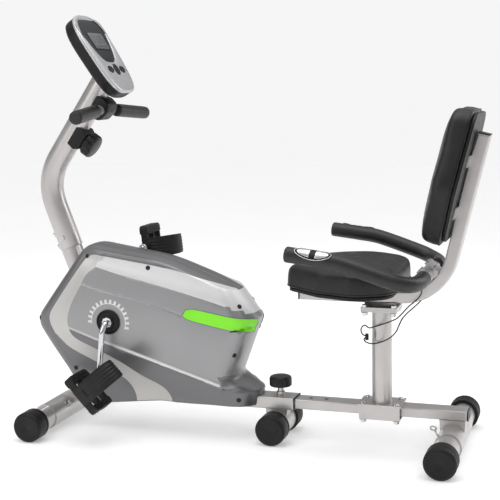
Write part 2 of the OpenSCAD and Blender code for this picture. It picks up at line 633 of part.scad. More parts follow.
module slide_rail() color(silver) placed() difference() {
    union() {
        block(rail_x0, rail_x1, -rail_w / 2, rail_w / 2, keel_z - rail_h / 2, keel_z + rail_h / 2);
        side(-24, 48) polygon([[rear_x - 30, 52], [rear_x - 32, keel_z - rail_h / 2 + 1],
                               [rear_x + 32, keel_z - rail_h / 2 + 1], [rear_x + 30, 52]]);
    }
    block(rail_x0 - 1, rail_x1 + 1, -rail_w / 2 + 2, rail_w / 2 - 2,
          keel_z - rail_h / 2 + 2, keel_z + rail_h / 2 - 2);
    across(rear_x, -40, cap_r, sleeve_r + gap, 80);
    for (k = [-2 : 3]) translate([lock_x + k * hole_pitch, 0, keel_z])
        cylinder(r = pin_r + 0.3, h = 40, $fn = 48);
}
module rear_stabilizer() color(silver) placed() {
    cross_tube(rear_x, rear_half, rear_sleeve);
    // Eyelets on the sleeve's front
    both() {
        rod([rear_x - 25, 84, 62], [rear_x - 33, 84, 75], 2.5);
        translate([rear_x - 37, 84, 81]) rotate([60, 0, 0])
            rotate_extrude($fn = 48) translate([7, 0]) circle(r = 2, $fn = 16);
    }
}
module rear_caps() cap_pair(rear_x, rear_half);

bolt_xs = [post_x - 42, post_x + 42];
module seat_post() color(silver) placed() difference() {
    union() {
        block(post_x - 55, post_x + 55, -40, 40, plate_z, plate_z + 5);
        translate([post_x, 0, plate_z + 4]) cylinder(r = post_r, h = 162, $fn = 64);
        translate([post_x, 0, plate_z + 160])
            cylinder(r = post_r - 0.7, h = seat_z - plate_z - 178, $fn = 64);
        block(post_x - 45, post_x + 45, -40, 40, seat_z - 22, seat_z - 16);
    }
    translate([post_x, 0, plate_z - 1]) cylinder(r = post_r - 3, h = seat_z, $fn = 64);
    for (x = bolt_xs, y = [-31, 31]) translate([x, y, 100]) cylinder(r = 4.2, h = 30, $fn = 32);
    for (x = [post_x - 36, post_x + 36], y = [-33, 33])
        translate([x, y, seat_z - 40]) cylinder(r = 4.2, h = 40, $fn = 32);
}
module post_saddle() color(silver) placed() difference() {
    block(post_x - 52, post_x + 52, -39, 39, 76, plate_z - gap);
    block(post_x - 60, post_x + 60, -36, 36, 79.5, 130);
    for (x = bolt_xs, y = [-31, 31]) translate([x, y, 60]) cylinder(r = 4.2, h = 30, $fn = 32);
}
module seat_bolts() color(chrome) placed() {
    for (x = bolt_xs, y = [-31, 31]) translate([x, y, 0]) {
        translate([0, 0, 66]) cylinder(r = 4, h = plate_z + 5 - 66, $fn = 32);
        translate([0, 0, plate_z + 5 + gap]) dome();
        translate([0, 0, 74.2]) washer();
        translate([0, 0, 68]) nut();
    }
    for (x = [post_x - 36, post_x + 36], y = [-33, 33]) translate([x, y, 0]) {
        translate([0, 0, seat_z - 32]) cylinder(r = 4, h = 23, $fn = 32);
        translate([0, 0, seat_z - 10 + gap]) nut();
        translate([0, 0, seat_z - 24 - gap]) washer(9);
        translate([0, 0, seat_z - 30]) nut();
    }
}

// Side view of the seat frame between radii r0 and r1 about the bend's centre
bend_steps = 20;
function bend_arc(r) = [for (k = [0 : bend_steps]) let (a = bend_deg * k / bend_steps - 90)
    [frame_bend_x + r * cos(a), bend_z + r * sin(a)]];
function backwards(p) = [for (i = [len(p) - 1 : -1 : 0]) p[i]];
module frame_profile(r0, r1, x0, up) {
    top = up * [sin(back_lean), cos(back_lean)];
    outer = bend_arc(r1);
    inner = bend_arc(r0);
    polygon(concat([[x0, bend_z - r1]], outer, [outer[bend_steps] + top], [inner[bend_steps] + top],
                   backwards(inner), [[x0, bend_z - r0]]));
}
// Children stand at the bend's end: x forwards, z up along the backrest
module upright(u) translate([frame_bend_x, 0, bend_z]) rotate([0, back_lean, 0])
    rotate([0, 0, 180]) translate([0, 0, u]) children();
module seat_frame() color(silver) placed() difference() {
    union() {
        side(-frame_w / 2, frame_w)
            frame_profile(frame_in_r, frame_in_r + frame_h, frame_x0, frame_up_len);
        block(post_x - 45, post_x + 45, -40, 40, seat_z - 16 + gap, seat_z - 10);
        block(post_x - 38, post_x + 38, -24, 24, seat_z - 11, seat_z + 1);
        // Backrest brackets
        for (u = [118, 245]) upright(u) block(-frame_in_r - 1, -frame_in_r + 2.8, -60, 60, -14, 14);
    }
    side(2 - frame_w / 2, frame_w - 4)
        frame_profile(frame_in_r + 2, frame_in_r + frame_h - 2, frame_x0 - 1, frame_up_len + 1);
    for (x = [post_x - 36, post_x + 36], y = [-33, 33])
        translate([x, y, seat_z - 30]) cylinder(r = 4.2, h = 22, $fn = 32);
}
module tube_plugs() color(black) placed() {
    block(frame_x0 - 3, frame_x0 - gap, -frame_w / 2, frame_w / 2, seat_z, seat_z + frame_h);
    block(frame_x0 - 3, frame_x0 + 12, -frame_w / 2 + 2.2, frame_w / 2 - 2.2,
          seat_z + 2.2, seat_z + frame_h - 2.2);
    upright(frame_up_len) {
        block(-frame_in_r - frame_h, -frame_in_r, -frame_w / 2, frame_w / 2, gap, 3);
        block(-frame_in_r - frame_h + 2.2, -frame_in_r - 2.2, -frame_w / 2 + 2.2, frame_w / 2 - 2.2, -12, 2);
    }
    block(rail_x1 + gap, rail_x1 + 3, -rail_w / 2, rail_w / 2, keel_z - rail_h / 2, keel_z + rail_h / 2);
    block(rail_x1 - 12, rail_x1 + 1, -rail_w / 2 + 2.2, rail_w / 2 - 2.2,
          keel_z - rail_h / 2 + 2.2, keel_z + rail_h / 2 - 2.2);
}

// Plan of the seat: narrow nose, wide rear, drawn in by d
seat_corners = [[668, -68, 40], [766, -146, 60], [866, -180, 60], [952, -140, 66],
                [952, 140, 66], [866, 180, 60], [766, 146, 60], [668, 68, 40]];
function seat_plan(d) = inset([for (p = rounded(seat_corners, 4)) p], -d);
module seat_pan() color(black) placed() translate([0, 0, seat_z + frame_h + 0.3])
    linear_extrude(8) polygon(seat_plan(6));
module seat_cushion() color([0.13, 0.13, 0.14]) placed() hull() {
    translate([0, 0, seat_z + frame_h + 8.6]) linear_extrude(6) polygon(seat_plan(4));
    translate([0, 0, seat_z + frame_h + 20]) linear_extrude(30) polygon(seat_plan(0));
    translate([0, 0, seat_z + frame_h + 62]) linear_extrude(8) polygon(seat_plan(26));
    translate([0, 0, seat_z + frame_h + 70]) linear_extrude(6) polygon(seat_plan(60));
}

// Front view of the backrest: across and up, drawn in by d
back_low = 44;
back_corners = [[-98, 0, 44], [-132, 130, 90], [-104, 322, 46], [104, 322, 46], [132, 130, 90],
                [98, 0, 44]];
function back_plan(d) = inset([for (p = rounded(back_corners, 4)) p], d);
// Children lie on the backrest's plane: x across, y up, z forwards from the upright's front
module on_back(n) upright(back_low) translate([-frame_in_r + n, 0, 0]) rotate([90, 0, 90]) children();
module back_board() color(black) placed() on_back(3.1) linear_extrude(8) polygon(back_plan(5));
module back_cushion() color([0.13, 0.13, 0.14]) placed() hull() {
    on_back(11.5) linear_extrude(6) polygon(back_plan(4));
    on_back(20) linear_extrude(20) polygon(back_plan(0));
    on_back(50) linear_extrude(4) polygon(back_plan(12));
    on_back(54) linear_extrude(5) polygon(back_plan(36));
}

// ---------------------------------------------------------------- armrests

function mirrored(p) = [for (i = [len(p) - 1 : -1 : 0]) [p[i][0], -p[i][1], p[i][2]]];
module armrest_bar() color(chrome) placed() sweep(concat(mirrored(arm_path), arm_path), arm_bar_r, 20);
module arm_foam() sweep(arm_path, 19, 20, arm_bar_r + 0.4);
module arm_foam_left() color(black) placed() arm_foam();
module arm_foam_right() color(black) placed() mirror([0, 1, 0]) arm_foam();
// Children stand at the bar's axis: z towards the bend's centre
module at_bar() translate([arm_path[0][0], 0, arm_path[0][2]]) rotate([0, -arm_angle, 0]) children();
module arm_clamp() color(silver) placed() difference() {
    at_bar() union() {
        translate([-20, -29, -17.8]) cube([40, 58, 16.8]);
        translate([-20, -29, 1]) cube([40, 58, 17]);
        for (x = [-15, 15], y = [-20, 20]) translate([x, y, -6]) cylinder(r = 3, h = 26, $fn = 24);
        for (x = [-15, 15], y = [-20, 20]) translate([x, y, 18]) cylinder(r = 6, h = 5, $fn = 6);
    }
    across(arm_path[0][0], -60, arm_path[0][2], arm_bar_r + 0.1, 120);
    translate([frame_bend_x, 0, bend_z]) rotate([90, 0, 0]) difference() {
        cylinder(r = 400, h = 200, center = true, $fn = 96);
        cylinder(r = frame_in_r - gap, h = 201, center = true, $fn = 96);
    }
}
// Oval pulse plates lying over the foam at each tip
tip_a = arm_path[10];
tip_b = arm_path[11];
sensor_tilt = 38;
module pulse_sensor() translate(tip_b) rotate(sensor_tilt, tip_a - tip_b) translate(-tip_b) difference() {
    intersection() {
        rod(tip_b, tip_a, 23);
        translate([0, 0, 500]) linear_extrude(60) polygon([for (a = [0 : 9 : 351])
            [784 + 47 * cos(a), 19 * sin(a) - arm_y]]);
    }
    rod(tip_b - [20, 0, -2.6], tip_a + [60, 0, -8], 19.4);
}
module pulse_sensor_left() color(chrome) placed() pulse_sensor();
module pulse_sensor_right() color(chrome) placed() mirror([0, 1, 0]) pulse_sensor();

module pulse_lead_left() color(black) placed() sweep(lead_left, lead_r, 8, lean = [0, 1, 0]);
module pulse_lead_right() color(black) placed() sweep(lead_right, lead_r, 8, lean = [0, 1, 0]);
module lead_plug() color(black) placed() block(862, 870, -36, -28, 279, 295);

keel();
front_post();
flywheel_bracket();
front_stabilizer();
front_caps();
mid_stabilizer();
mid_caps();
frame_bolts();
shroud_left();
shroud_right();
shroud_screws();
crank_cups();
crank_bearings();
flywheel_axle();
drive_belt();
mast();
console_case();
console_bezel();
console_window();
handlebar();
grip_left();
grip_right();
handlebar_clamp();
tension_housing();
rail_bush();
crank();
drive_pulley();
pedal_spindles();
flywheel();
magnet_lever();
pedal_left();
pedal_right();
strap_left();
strap_right();
tension_knob();
lock_knob();
button_left();
button_center();
button_right();
slide_rail();
tube_plugs();
rear_stabilizer();
rear_caps();
seat_post();
post_saddle();
seat_bolts();
seat_frame();
seat_pan();
seat_cushion();
back_board();
back_cushion();
armrest_bar();
arm_foam_left();
arm_foam_right();
pulse_sensor_left();
pulse_sensor_right();
arm_clamp();
pulse_lead_left();
pulse_lead_right();
lead_plug();
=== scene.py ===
"""Looks of a recumbent exercise bike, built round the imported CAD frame.

Places are in millimetres from the front cross tube's axis, as on the bike's side view:
x towards the seat, y to the rider's right, z up. at() turns them into the frame's metres.
"""
import json
from math import acos, atan2, copysign, cos, pi, radians, sin, sqrt, tan

import bmesh
import bpy
import numpy as np
from mathutils import Matrix, Vector, geometry
from mathutils.bvhtree import BVHTree


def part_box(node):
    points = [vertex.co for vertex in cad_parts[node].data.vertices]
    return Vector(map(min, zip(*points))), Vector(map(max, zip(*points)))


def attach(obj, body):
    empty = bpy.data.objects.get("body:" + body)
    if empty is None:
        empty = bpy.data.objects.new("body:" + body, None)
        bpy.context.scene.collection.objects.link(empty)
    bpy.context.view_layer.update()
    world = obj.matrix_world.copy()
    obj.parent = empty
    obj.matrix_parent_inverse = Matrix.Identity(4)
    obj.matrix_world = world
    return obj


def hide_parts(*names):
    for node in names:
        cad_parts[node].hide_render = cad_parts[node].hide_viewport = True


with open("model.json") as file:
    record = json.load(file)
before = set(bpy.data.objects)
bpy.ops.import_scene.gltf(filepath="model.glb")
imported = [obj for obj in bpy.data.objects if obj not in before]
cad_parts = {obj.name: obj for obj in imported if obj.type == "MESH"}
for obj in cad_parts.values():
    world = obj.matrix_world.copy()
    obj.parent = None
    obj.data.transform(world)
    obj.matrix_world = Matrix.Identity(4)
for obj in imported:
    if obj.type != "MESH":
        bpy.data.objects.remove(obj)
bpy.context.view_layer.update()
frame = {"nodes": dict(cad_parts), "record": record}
scene = bpy.context.scene
MM = 0.001
low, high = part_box("front_stabilizer")
FRONT_X = (low[0] + high[0]) / 2


def at(x, y, z):
    """A bike place in the frame's metres."""
    return Vector((FRONT_X + x * MM, y * MM, z * MM))


def turns(n):
    """n angles round a circle."""
    return [2 * pi * k / n for k in range(n)]


# ---------------- camera, floor and light

CAMERA_PLACE = (1449.95, -2650.0, 918.1)
CAMERA_TURN = (18.7, 8.65, -1.32)  # azimuth (0 looks along +Y), elevation and roll, in degrees
LENS, SENSOR = 78.95, 36


def add_camera():
    azimuth, elevation, roll = (radians(v) for v in CAMERA_TURN)
    back = Vector((sin(azimuth) * cos(elevation), -cos(azimuth) * cos(elevation),
                   sin(elevation)))
    right = Vector((0, 0, 1)).cross(back).normalized()
    up = back.cross(right)
    right, up = (cos(roll) * right + sin(roll) * up,
                 cos(roll) * up - sin(roll) * right)
    data = bpy.data.cameras.new("camera")
    data.lens = LENS
    data.sensor_width = SENSOR
    camera = bpy.data.objects.new("camera", data)
    camera.matrix_world = (Matrix.Translation(at(*CAMERA_PLACE))
                           @ Matrix((right, up, back)).transposed().to_4x4())
    scene.collection.objects.link(camera)
    scene.camera = camera


# (height, level) round the studio: the dim middle band is what darkens the metal's sides
SKY = ((0.08, 1.0), (0.18, 0.30), (0.38, 0.26), (0.62, 0.9))
SKY_STRENGTH = 0.92
LIGHTS = (("overhead", (0.1, -0.3, 2.9), (0, 0, 0.3), (2.6, 1.8), 30),
          ("key", (-1.7, -2.3, 1.9), (-0.2, 0, 0.4), (1.2, 1.6), 16),
          ("rim", (1.9, 1.6, 1.6), (0.2, 0, 0.6), (0.9, 1.6), 14))
FLOOR_HALF, FLOOR_GLOW = 9, 0.29


def add_studio():
    scene.world = bpy.data.worlds.new("studio")
    scene.world.use_nodes = True
    nodes, links = scene.world.node_tree.nodes, scene.world.node_tree.links
    background = nodes["Background"]
    place = nodes.new("ShaderNodeTexCoord")
    split = nodes.new("ShaderNodeSeparateXYZ")
    ramp = nodes.new("ShaderNodeValToRGB")
    links.new(place.outputs["Generated"], split.inputs[0])
    links.new(split.outputs["Z"], ramp.inputs["Fac"])
    for end in ramp.color_ramp.elements:
        end.color = (1, 1, 1, 1)
    for height, level in SKY:
        ramp.color_ramp.elements.new(height).color = (level, level, level * 1.01, 1)
    links.new(ramp.outputs["Color"], background.inputs["Color"])
    background.inputs["Strength"].default_value = SKY_STRENGTH
    scene.view_settings.view_transform = "Standard"
    for name, place, target, size, power in LIGHTS:
        data = bpy.data.lights.new(name, "AREA")
        data.shape = "RECTANGLE"
        data.size, data.size_y = size
        data.energy = power
        light = bpy.data.objects.new(name, data)
        light.location = place
        light.rotation_euler = (Vector(target) - Vector(place)).to_track_quat("-Z", "Y").to_euler()
        scene.collection.objects.link(light)


def add_floor():
    paint = finish("floor_paint", (0.9, 0.9, 0.9), 0.6, 0, 0.01, 1.5, (60, 0.02, 0.0002))
    glow = paint.node_tree.nodes["Principled BSDF"].inputs
    glow["Emission Color"].default_value = (1, 1, 1, 1)
    glow["Emission Strength"].default_value = FLOOR_GLOW
    corners = [(x * FLOOR_HALF, y * FLOOR_HALF, 0) for x, y in ((-1, -1), (1, -1), (1, 1), (-1, 1))]
    make("floor", corners, [(0, 1, 2, 3)], [paint])


# ---------------- materials


MIDDLE = (0.3, 0.7)  # the part of a noise texture's range that is spread over a whole range of values


def finish(name, colour, rough, metal, vary, vary_scale, grain, pores=None, coat=0.0, specular=0.5,
           rough_vary=0.06, stretch=(1, 1, 1)):
    """A surface with colour drift, uneven gloss and a fine bump.

    grain and pores are (scale, strength, depth); vary is the drift's share of the colour."""
    made = bpy.data.materials.new(name)
    made.use_nodes = True
    nodes, links = made.node_tree.nodes, made.node_tree.links
    bsdf = nodes["Principled BSDF"]

    def add(kind, **values):
        node = nodes.new("ShaderNode" + kind)
        for socket, value in values.items():
            node.inputs[socket.replace("_", " ")].default_value = value
        return node

    mapping = add("Mapping", Scale=stretch)
    links.new(add("TexCoord").outputs["Object"], mapping.inputs["Vector"])

    def texture(kind, output, **values):
        node = add(kind, **values)
        links.new(mapping.outputs["Vector"], node.inputs["Vector"])
        return node.outputs[output]

    def spread(value, lowest, highest):
        node = add("MapRange", From_Min=MIDDLE[0], From_Max=MIDDLE[1], To_Min=lowest, To_Max=highest)
        links.new(value, node.inputs["Value"])
        return node.outputs["Result"]

    mix = nodes.new("ShaderNodeMix")
    mix.data_type = "RGBA"
    mix.inputs["A"].default_value = (*[c * (1 - vary) for c in colour], 1)
    mix.inputs["B"].default_value = (*[min(1, c * (1 + vary)) for c in colour], 1)
    drift = texture("TexNoise", "Fac", Scale=vary_scale, Detail=4)
    links.new(spread(drift, 0, 1), mix.inputs["Factor"])
    links.new(mix.outputs["Result"], bsdf.inputs["Base Color"])
    gloss = texture("TexNoise", "Fac", Scale=vary_scale * 3.1, Detail=3)
    links.new(spread(gloss, rough - rough_vary, rough + rough_vary), bsdf.inputs["Roughness"])
    for socket, value in (("Metallic", metal), ("Specular IOR Level", specular), ("Coat Weight", coat),
                          ("Coat Roughness", 0.12)):
        bsdf.inputs[socket].default_value = value
    bump = add("Bump", Strength=grain[1], Distance=grain[2])
    links.new(texture("TexNoise", "Fac", Scale=grain[0], Detail=3), bump.inputs["Height"])
    if pores:
        fine, bump = bump, add("Bump", Strength=pores[1], Distance=pores[2])
        links.new(texture("TexVoronoi", "Distance", Scale=pores[0]), bump.inputs["Height"])
        links.new(fine.outputs["Normal"], bump.inputs["Normal"])
    links.new(bump.outputs["Normal"], bsdf.inputs["Normal"])
    return made


FINE = (500, 0.03, 0.0002)
SILVER = finish("silver_paint", (0.52, 0.50, 0.49), 0.34, 0.75, 0.04, 9, (500, 0.05, 0.0002), coat=0.15)
SHROUD = finish("shroud_silver", (0.30, 0.30, 0.305), 0.33, 0.62, 0.04, 4, FINE, coat=0.25, rough_vary=0.03)
SHROUD_DARK = finish("shroud_dark", (0.165, 0.165, 0.17), 0.37, 0.6, 0.04, 4, FINE, coat=0.2, rough_vary=0.03)
# pale silver paint of the nose band; the same grey is also a painted highlight along the ridge's lip
SHROUD_PALE_AND_HIGHLIGHT = finish("shroud_pale_and_highlight", (0.52, 0.505, 0.49), 0.4, 0.45, 0.03, 4, FINE, coat=0.15,
                      rough_vary=0.03)
SCREW_BLACK = finish("screw_black", (0.006, 0.006, 0.006), 0.6, 0.12, 0.1, 40, FINE)
# a lighter grey painted on the upward-facing top of the shroud's side: a painted highlight standing in for
# the overhead light's reflection there
SHROUD_PAINTED_HIGHLIGHT = finish("shroud_painted_highlight", (0.62, 0.62, 0.62), 0.46, 0.5, 0.03, 4, FINE, rough_vary=0.03)
GREEN = finish("stripe_green", (0.23, 0.80, 0.035), 0.34, 0.0, 0.04, 6, FINE, specular=0.3, rough_vary=0.02)
PRINT = finish("printed_silver", (0.68, 0.68, 0.68), 0.42, 0.3, 0.08, 60, (900, 0.05, 0.0002))
PLASTIC = finish("black_plastic", (0.006, 0.006, 0.0065), 0.42, 0, 0.25, 30, (1300, 0.30, 0.0003),
                 specular=0.28)
CAP_RUBBER = finish("cap_rubber", (0.008, 0.008, 0.0085), 0.5, 0, 0.25, 24, (600, 0.35, 0.0004),
                    specular=0.28)
KNOB = finish("knob_plastic", (0.006, 0.006, 0.0065), 0.33, 0, 0.2, 30, (1200, 0.2, 0.0002), specular=0.3)
PEDAL = finish("pedal_plastic", (0.007, 0.007, 0.0075), 0.5, 0, 0.3, 40, (900, 0.4, 0.0003), specular=0.3)
STRAP = finish("strap_rubber", (0.009, 0.009, 0.0095), 0.46, 0, 0.3, 40, (500, 0.3, 0.0004), specular=0.32)
FOAM = finish("foam", (0.009, 0.0085, 0.0085), 0.42, 0, 0.3, 40, (520, 0.25, 0.0004),
              pores=(1100, 0.25, 0.0004), specular=0.5)
VINYL = finish("vinyl", (0.0085, 0.0085, 0.0095), 0.40, 0, 0.25, 12, (240, 0.18, 0.0006),
               pores=(620, 0.5, 0.0004), specular=0.38, rough_vary=0.07)
PIPING = finish("piping", (0.004, 0.004, 0.0045), 0.32, 0, 0.2, 60, (900, 0.2, 0.0002), specular=0.3)
CHROME = finish("chrome", (0.62, 0.62, 0.64), 0.11, 1.0, 0.03, 25, (60, 0.03, 0.0003), rough_vary=0.04)
STEEL = finish("brushed_steel", (0.46, 0.46, 0.47), 0.33, 1.0, 0.12, 30, (400, 0.2, 0.0002),
               stretch=(1, 1, 30))
NYLON = finish("pulley_nylon", (0.012, 0.012, 0.0125), 0.45, 0, 0.2, 30, (900, 0.3, 0.0003), specular=0.3)
BELT = finish("belt", (0.008, 0.008, 0.008), 0.6, 0, 0.2, 60, (700, 0.4, 0.0004), stretch=(1, 20, 1))
CONSOLE = finish("console_silver", (0.50, 0.50, 0.51), 0.30, 0.45, 0.03, 5, FINE, coat=0.3, rough_vary=0.03)
WINDOW = finish("console_dark", (0.018, 0.020, 0.023), 0.14, 0, 0.15, 10, (60, 0.02, 0.0002), specular=0.4)
LCD = finish("lcd_glass", (0.13, 0.135, 0.14), 0.2, 0, 0.08, 40, (300, 0.02, 0.0002), specular=0.35)
LCD_INK = finish("lcd_segments", (0.05, 0.052, 0.056), 0.25, 0, 0.1, 60, (300, 0.02, 0.0002), specular=0.3)
KEY = finish("button_rubber", (0.010, 0.010, 0.011), 0.38, 0, 0.2, 60, (900, 0.3, 0.0003), specular=0.3)
LEAD = finish("lead_rubber", (0.006, 0.006, 0.0065), 0.4, 0, 0.2, 80, (900, 0.3, 0.0002), specular=0.3)
CLAMP = finish("clamp_silver", (0.52, 0.51, 0.505), 0.33, 0.8, 0.06, 18, (700, 0.12, 0.0003))

SLOT_LOOKS = {
    "silver_paint": SILVER, "clamp_silver": CLAMP, "black_plastic": PLASTIC, "knob_black": KNOB,
    "pedal_black": PEDAL, "strap_rubber": STRAP, "foam": FOAM, "vinyl": VINYL, "chrome": CHROME,
    "steel": STEEL, "pulley_nylon": NYLON, "belt": BELT, "shroud_silver": SHROUD,
    "console_silver": CONSOLE, "console_dark": WINDOW, "button_rubber": KEY, "lead_rubber": LEAD,
}
NODE_SLOT = {part["node"]: part["material_slot"] for part in frame["record"]["subparts"]}
for node_name, node_object in frame["nodes"].items():
    for slot_of_node in node_object.material_slots:
        slot_of_node.material = SLOT_LOOKS[NODE_SLOT[node_name]]

# ---------------- mesh helpers

def into_scene(name, mesh, looks, smooth):
    """An object of a mesh. smooth is the angle above which an edge stays sharp."""
    for surface in looks:
        mesh.materials.append(surface)
    mesh.polygons.foreach_set("use_smooth", [True] * len(mesh.polygons))
    if smooth < 180:
        mesh.set_sharp_from_angle(angle=radians(smooth))
    piece = bpy.data.objects.new(name, mesh)
    scene.collection.objects.link(piece)
    return piece


def make(name, verts, faces, looks, smooth=40.0):
    """A mesh piece from points in metres."""
    mesh = bpy.data.meshes.new(name)
    mesh.from_pydata([tuple(v) for v in verts], [], faces)
    return into_scene(name, mesh, looks, smooth)


def own(piece, body, slot, *nodes):
    """Puts a piece on a body and hides the CAD nodes that it stands for; slot is not used."""
    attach(piece, body)
    if nodes:
        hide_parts(*nodes)
    return piece


def strip(count, n, wrap=False):
    """Faces between rings of n points each; wrap joins the last ring to the first."""
    faces = []
    for i in range(count if wrap else count - 1):
        a, b = i * n, (i + 1) % count * n
        faces += [(a + k, a + (k + 1) % n, b + (k + 1) % n, b + k) for k in range(n)]
    return faces


def loft(name, rings, looks, caps=(True, True), smooth=40.0):
    """A skin over rings of equal length, with a face over each end that caps asks for."""
    verts = [p for ring in rings for p in ring]
    n = len(rings[0])
    faces = strip(len(rings), n)
    if caps[0]:
        faces.append(tuple(range(n - 1, -1, -1)))
    if caps[1]:
        faces.append(tuple(len(verts) - n + k for k in range(n)))
    return make(name, verts, faces, looks, smooth)


def smooth_path(points, steps=6):
    """Catmull-Rom curve through the points."""
    pts = [Vector(p) for p in points]
    ends = [2 * pts[0] - pts[1]] + pts + [2 * pts[-1] - pts[-2]]
    out = []
    for i in range(1, len(ends) - 2):
        a, b, c, d = ends[i - 1:i + 3]
        for k in range(steps):
            t = k / steps
            out.append(0.5 * (2 * b + (c - a) * t + (2 * a - 5 * b + 4 * c - d) * t * t
                              + (3 * b - a - 3 * c + d) * t ** 3))
    return out + [pts[-1]]


def frames_along(path):
    """Two side directions at each point of a path, without twist."""
    ways = []
    for i in range(len(path)):
        ways.append((path[min(i + 1, len(path) - 1)] - path[max(i - 1, 0)]).normalized())
    side = ways[0].orthogonal().normalized()
    out = []
    for way in ways:
        side = (side - way * side.dot(way)).normalized()
        out.append((way, side, way.cross(side)))
    return out


def tube(name, path, radius, looks, n, edge=0.0):
    """A bar along a path. radius is a number or one number a point; edge rounds both ends."""
    path = [Vector(p) for p in path]
    radii = list(radius) if hasattr(radius, "__len__") else [radius] * len(path)
    steps = [radians(d) for d in (0, 22, 45, 67)] if edge else []
    rings = []
    for i, (p, r, (way, side, other)) in enumerate(zip(path, radii, frames_along(path))):
        if i == 0:
            places = [(edge * (1 - cos(s)), edge * (sin(s) - 1)) for s in steps] + [(edge, 0)]
        elif i == len(path) - 1:
            places = [(-edge, 0)] + [(edge * (cos(s) - 1), edge * (sin(s) - 1))
                                     for s in reversed(steps)]
        else:
            places = [(0, 0)]
        for along, grow in places:
            rings.append([p + way * along + (r + grow) * (cos(a) * side + sin(a) * other)
                          for a in turns(n)])
    return loft(name, rings, looks)


def placed(x, y, z, lean=0.0):
    """The frame at a bike place, leaned about Y, that takes millimetres."""
    turn = Matrix.Rotation(radians(lean), 4, "Y")
    return Matrix.Translation(at(x, y, z)) @ turn @ Matrix.Scale(MM, 4)


TO_RIGHT = Matrix.Rotation(-pi / 2, 4, "X")
TO_LEFT = Matrix.Rotation(pi / 2, 4, "X")
SIDES = (("left", -1, TO_LEFT), ("right", 1, TO_RIGHT))


GRIP_LOBES, GRIP_LOW, GRIP_HIGH = 12, 3, 22.6


def lathe(name, profile, place, looks, n, grip=0.0):
    """A piece turned about its place's z, from (radius, height) pairs.

    grip is the depth of the hollows round a knob's middle."""
    rings = []
    for radius, height in profile:
        ring = []
        for a in turns(n):
            r = radius
            if GRIP_LOW <= height <= GRIP_HIGH:
                r -= grip * max(0.0, cos(GRIP_LOBES * a)) ** 0.6
            ring.append(place @ Vector((r * cos(a), r * sin(a), height)))
        rings.append(ring)
    return loft(name, rings, looks, smooth=35)


def add_plate(bm, outline, z0, z1, edge, segments=3):
    """Adds a plate to a bmesh: an outline from z0 to z1, its rims rounded."""
    face = bm.faces.new([bm.verts.new((x, y, z0)) for x, y in outline])
    raised = bmesh.ops.extrude_face_region(bm, geom=[face])["geom"]
    moved = [v for v in raised if isinstance(v, bmesh.types.BMVert)]
    bmesh.ops.translate(bm, verts=moved, vec=(0, 0, z1 - z0))
    walls = list(dict.fromkeys([f for v in moved for f in v.link_faces]
                               + [f for e in face.edges for f in e.link_faces]))
    bmesh.ops.recalc_face_normals(bm, faces=walls)
    rims = [e for e in dict.fromkeys(e for f in walls for e in f.edges)
            if len(e.link_faces) == 2 and e.calc_face_angle() > radians(50)]
    bmesh.ops.bevel(bm, geom=rims, offset=edge, segments=segments, profile=0.5,
                    affect="EDGES", clamp_overlap=True)


def bevelled(name, outline, depth, place, looks, edge, segments):
    """A plate of its own, depth thick, set in a place."""
    bm = bmesh.new()
    add_plate(bm, outline, 0, depth, edge, segments)
    bm.transform(place)
    return from_bmesh(name, bm, looks)


def from_bmesh(name, bm, looks, smooth=40.0):
    mesh = bpy.data.meshes.new(name)
    bm.to_mesh(mesh)
    bm.free()
    return into_scene(name, mesh, looks, smooth)


def block(bm, low_corner, high_corner, edge=0.0):
    """Adds a box between two corners, its edges rounded."""
    low_corner, high_corner = Vector(low_corner), Vector(high_corner)
    size = high_corner - low_corner
    matrix = Matrix.Translation((low_corner + high_corner) / 2) @ Matrix.Diagonal((*size, 1))
    cube = bmesh.ops.create_cube(bm, size=1, matrix=matrix)
    if edge:
        edges = list(dict.fromkeys(e for v in cube["verts"] for e in v.link_edges))
        bmesh.ops.bevel(bm, geom=edges, offset=edge, segments=2, profile=0.5, affect="EDGES")


def weighted(piece):
    """Shades a piece's rounded edges so that its flats stay flat."""
    shading = piece.modifiers.new("weighted", "WEIGHTED_NORMAL")
    shading.keep_sharp = True
    return piece


SHARP_CORNER = 38  # degrees


def rounded_copy(node, edge, long_edge=0.0, is_long=None):
    """A copy of a CAD node with its edges rounded, and its long corners rounded more."""
    source = frame["nodes"][node]
    bm = bmesh.new()
    bm.from_mesh(source.data)
    bmesh.ops.remove_doubles(bm, verts=bm.verts, dist=2e-6)
    bmesh.ops.dissolve_limit(bm, angle_limit=radians(1.5), verts=bm.verts, edges=bm.edges)

    def corners(test):
        return [e for e in bm.edges if len(e.link_faces) == 2 and e.is_convex
                and e.calc_face_angle(0) > radians(SHARP_CORNER) and test(e)]
    if long_edge:
        bmesh.ops.bevel(bm, geom=corners(is_long), offset=long_edge * MM, segments=4, profile=0.5,
                        affect="EDGES", clamp_overlap=False)
    bmesh.ops.bevel(bm, geom=corners(lambda e: True), offset=edge * MM, segments=2, profile=0.5,
                    affect="EDGES", clamp_overlap=True)
    look = SLOT_LOOKS[NODE_SLOT[node]]
    piece = weighted(from_bmesh(node + "_finished", bm, [look], 36))
    return own(piece, BODY_OF[node], NODE_SLOT[node], node)


BODY_OF = {n: body for body, nodes in frame["record"]["behaviour"]["bodies"].items() for n in nodes}

# ---------------- outlines and distances

def corner_arc(a, b, c, radius, steps):
    """Points round corner b of an outline, from the side towards a to the side towards c."""
    a, b, c = Vector(a), Vector(b), Vector(c)
    u, v = (a - b).normalized(), (c - b).normalized()
    half = acos(max(-1, min(1, u.dot(v)))) / 2
    t = min(radius / tan(half), 0.49 * (a - b).length, 0.49 * (c - b).length)
    r = t * tan(half)
    centre = b + (u + v).normalized() * r / sin(half)
    p, q = b + u * t - centre, b + v * t - centre
    start = atan2(p.y, p.x)
    turn = atan2(p.x * q.y - p.y * q.x, p.dot(q))
    return [centre + r * Vector((cos(start + turn * k / steps), sin(start + turn * k / steps)))
            for k in range(steps + 1)]


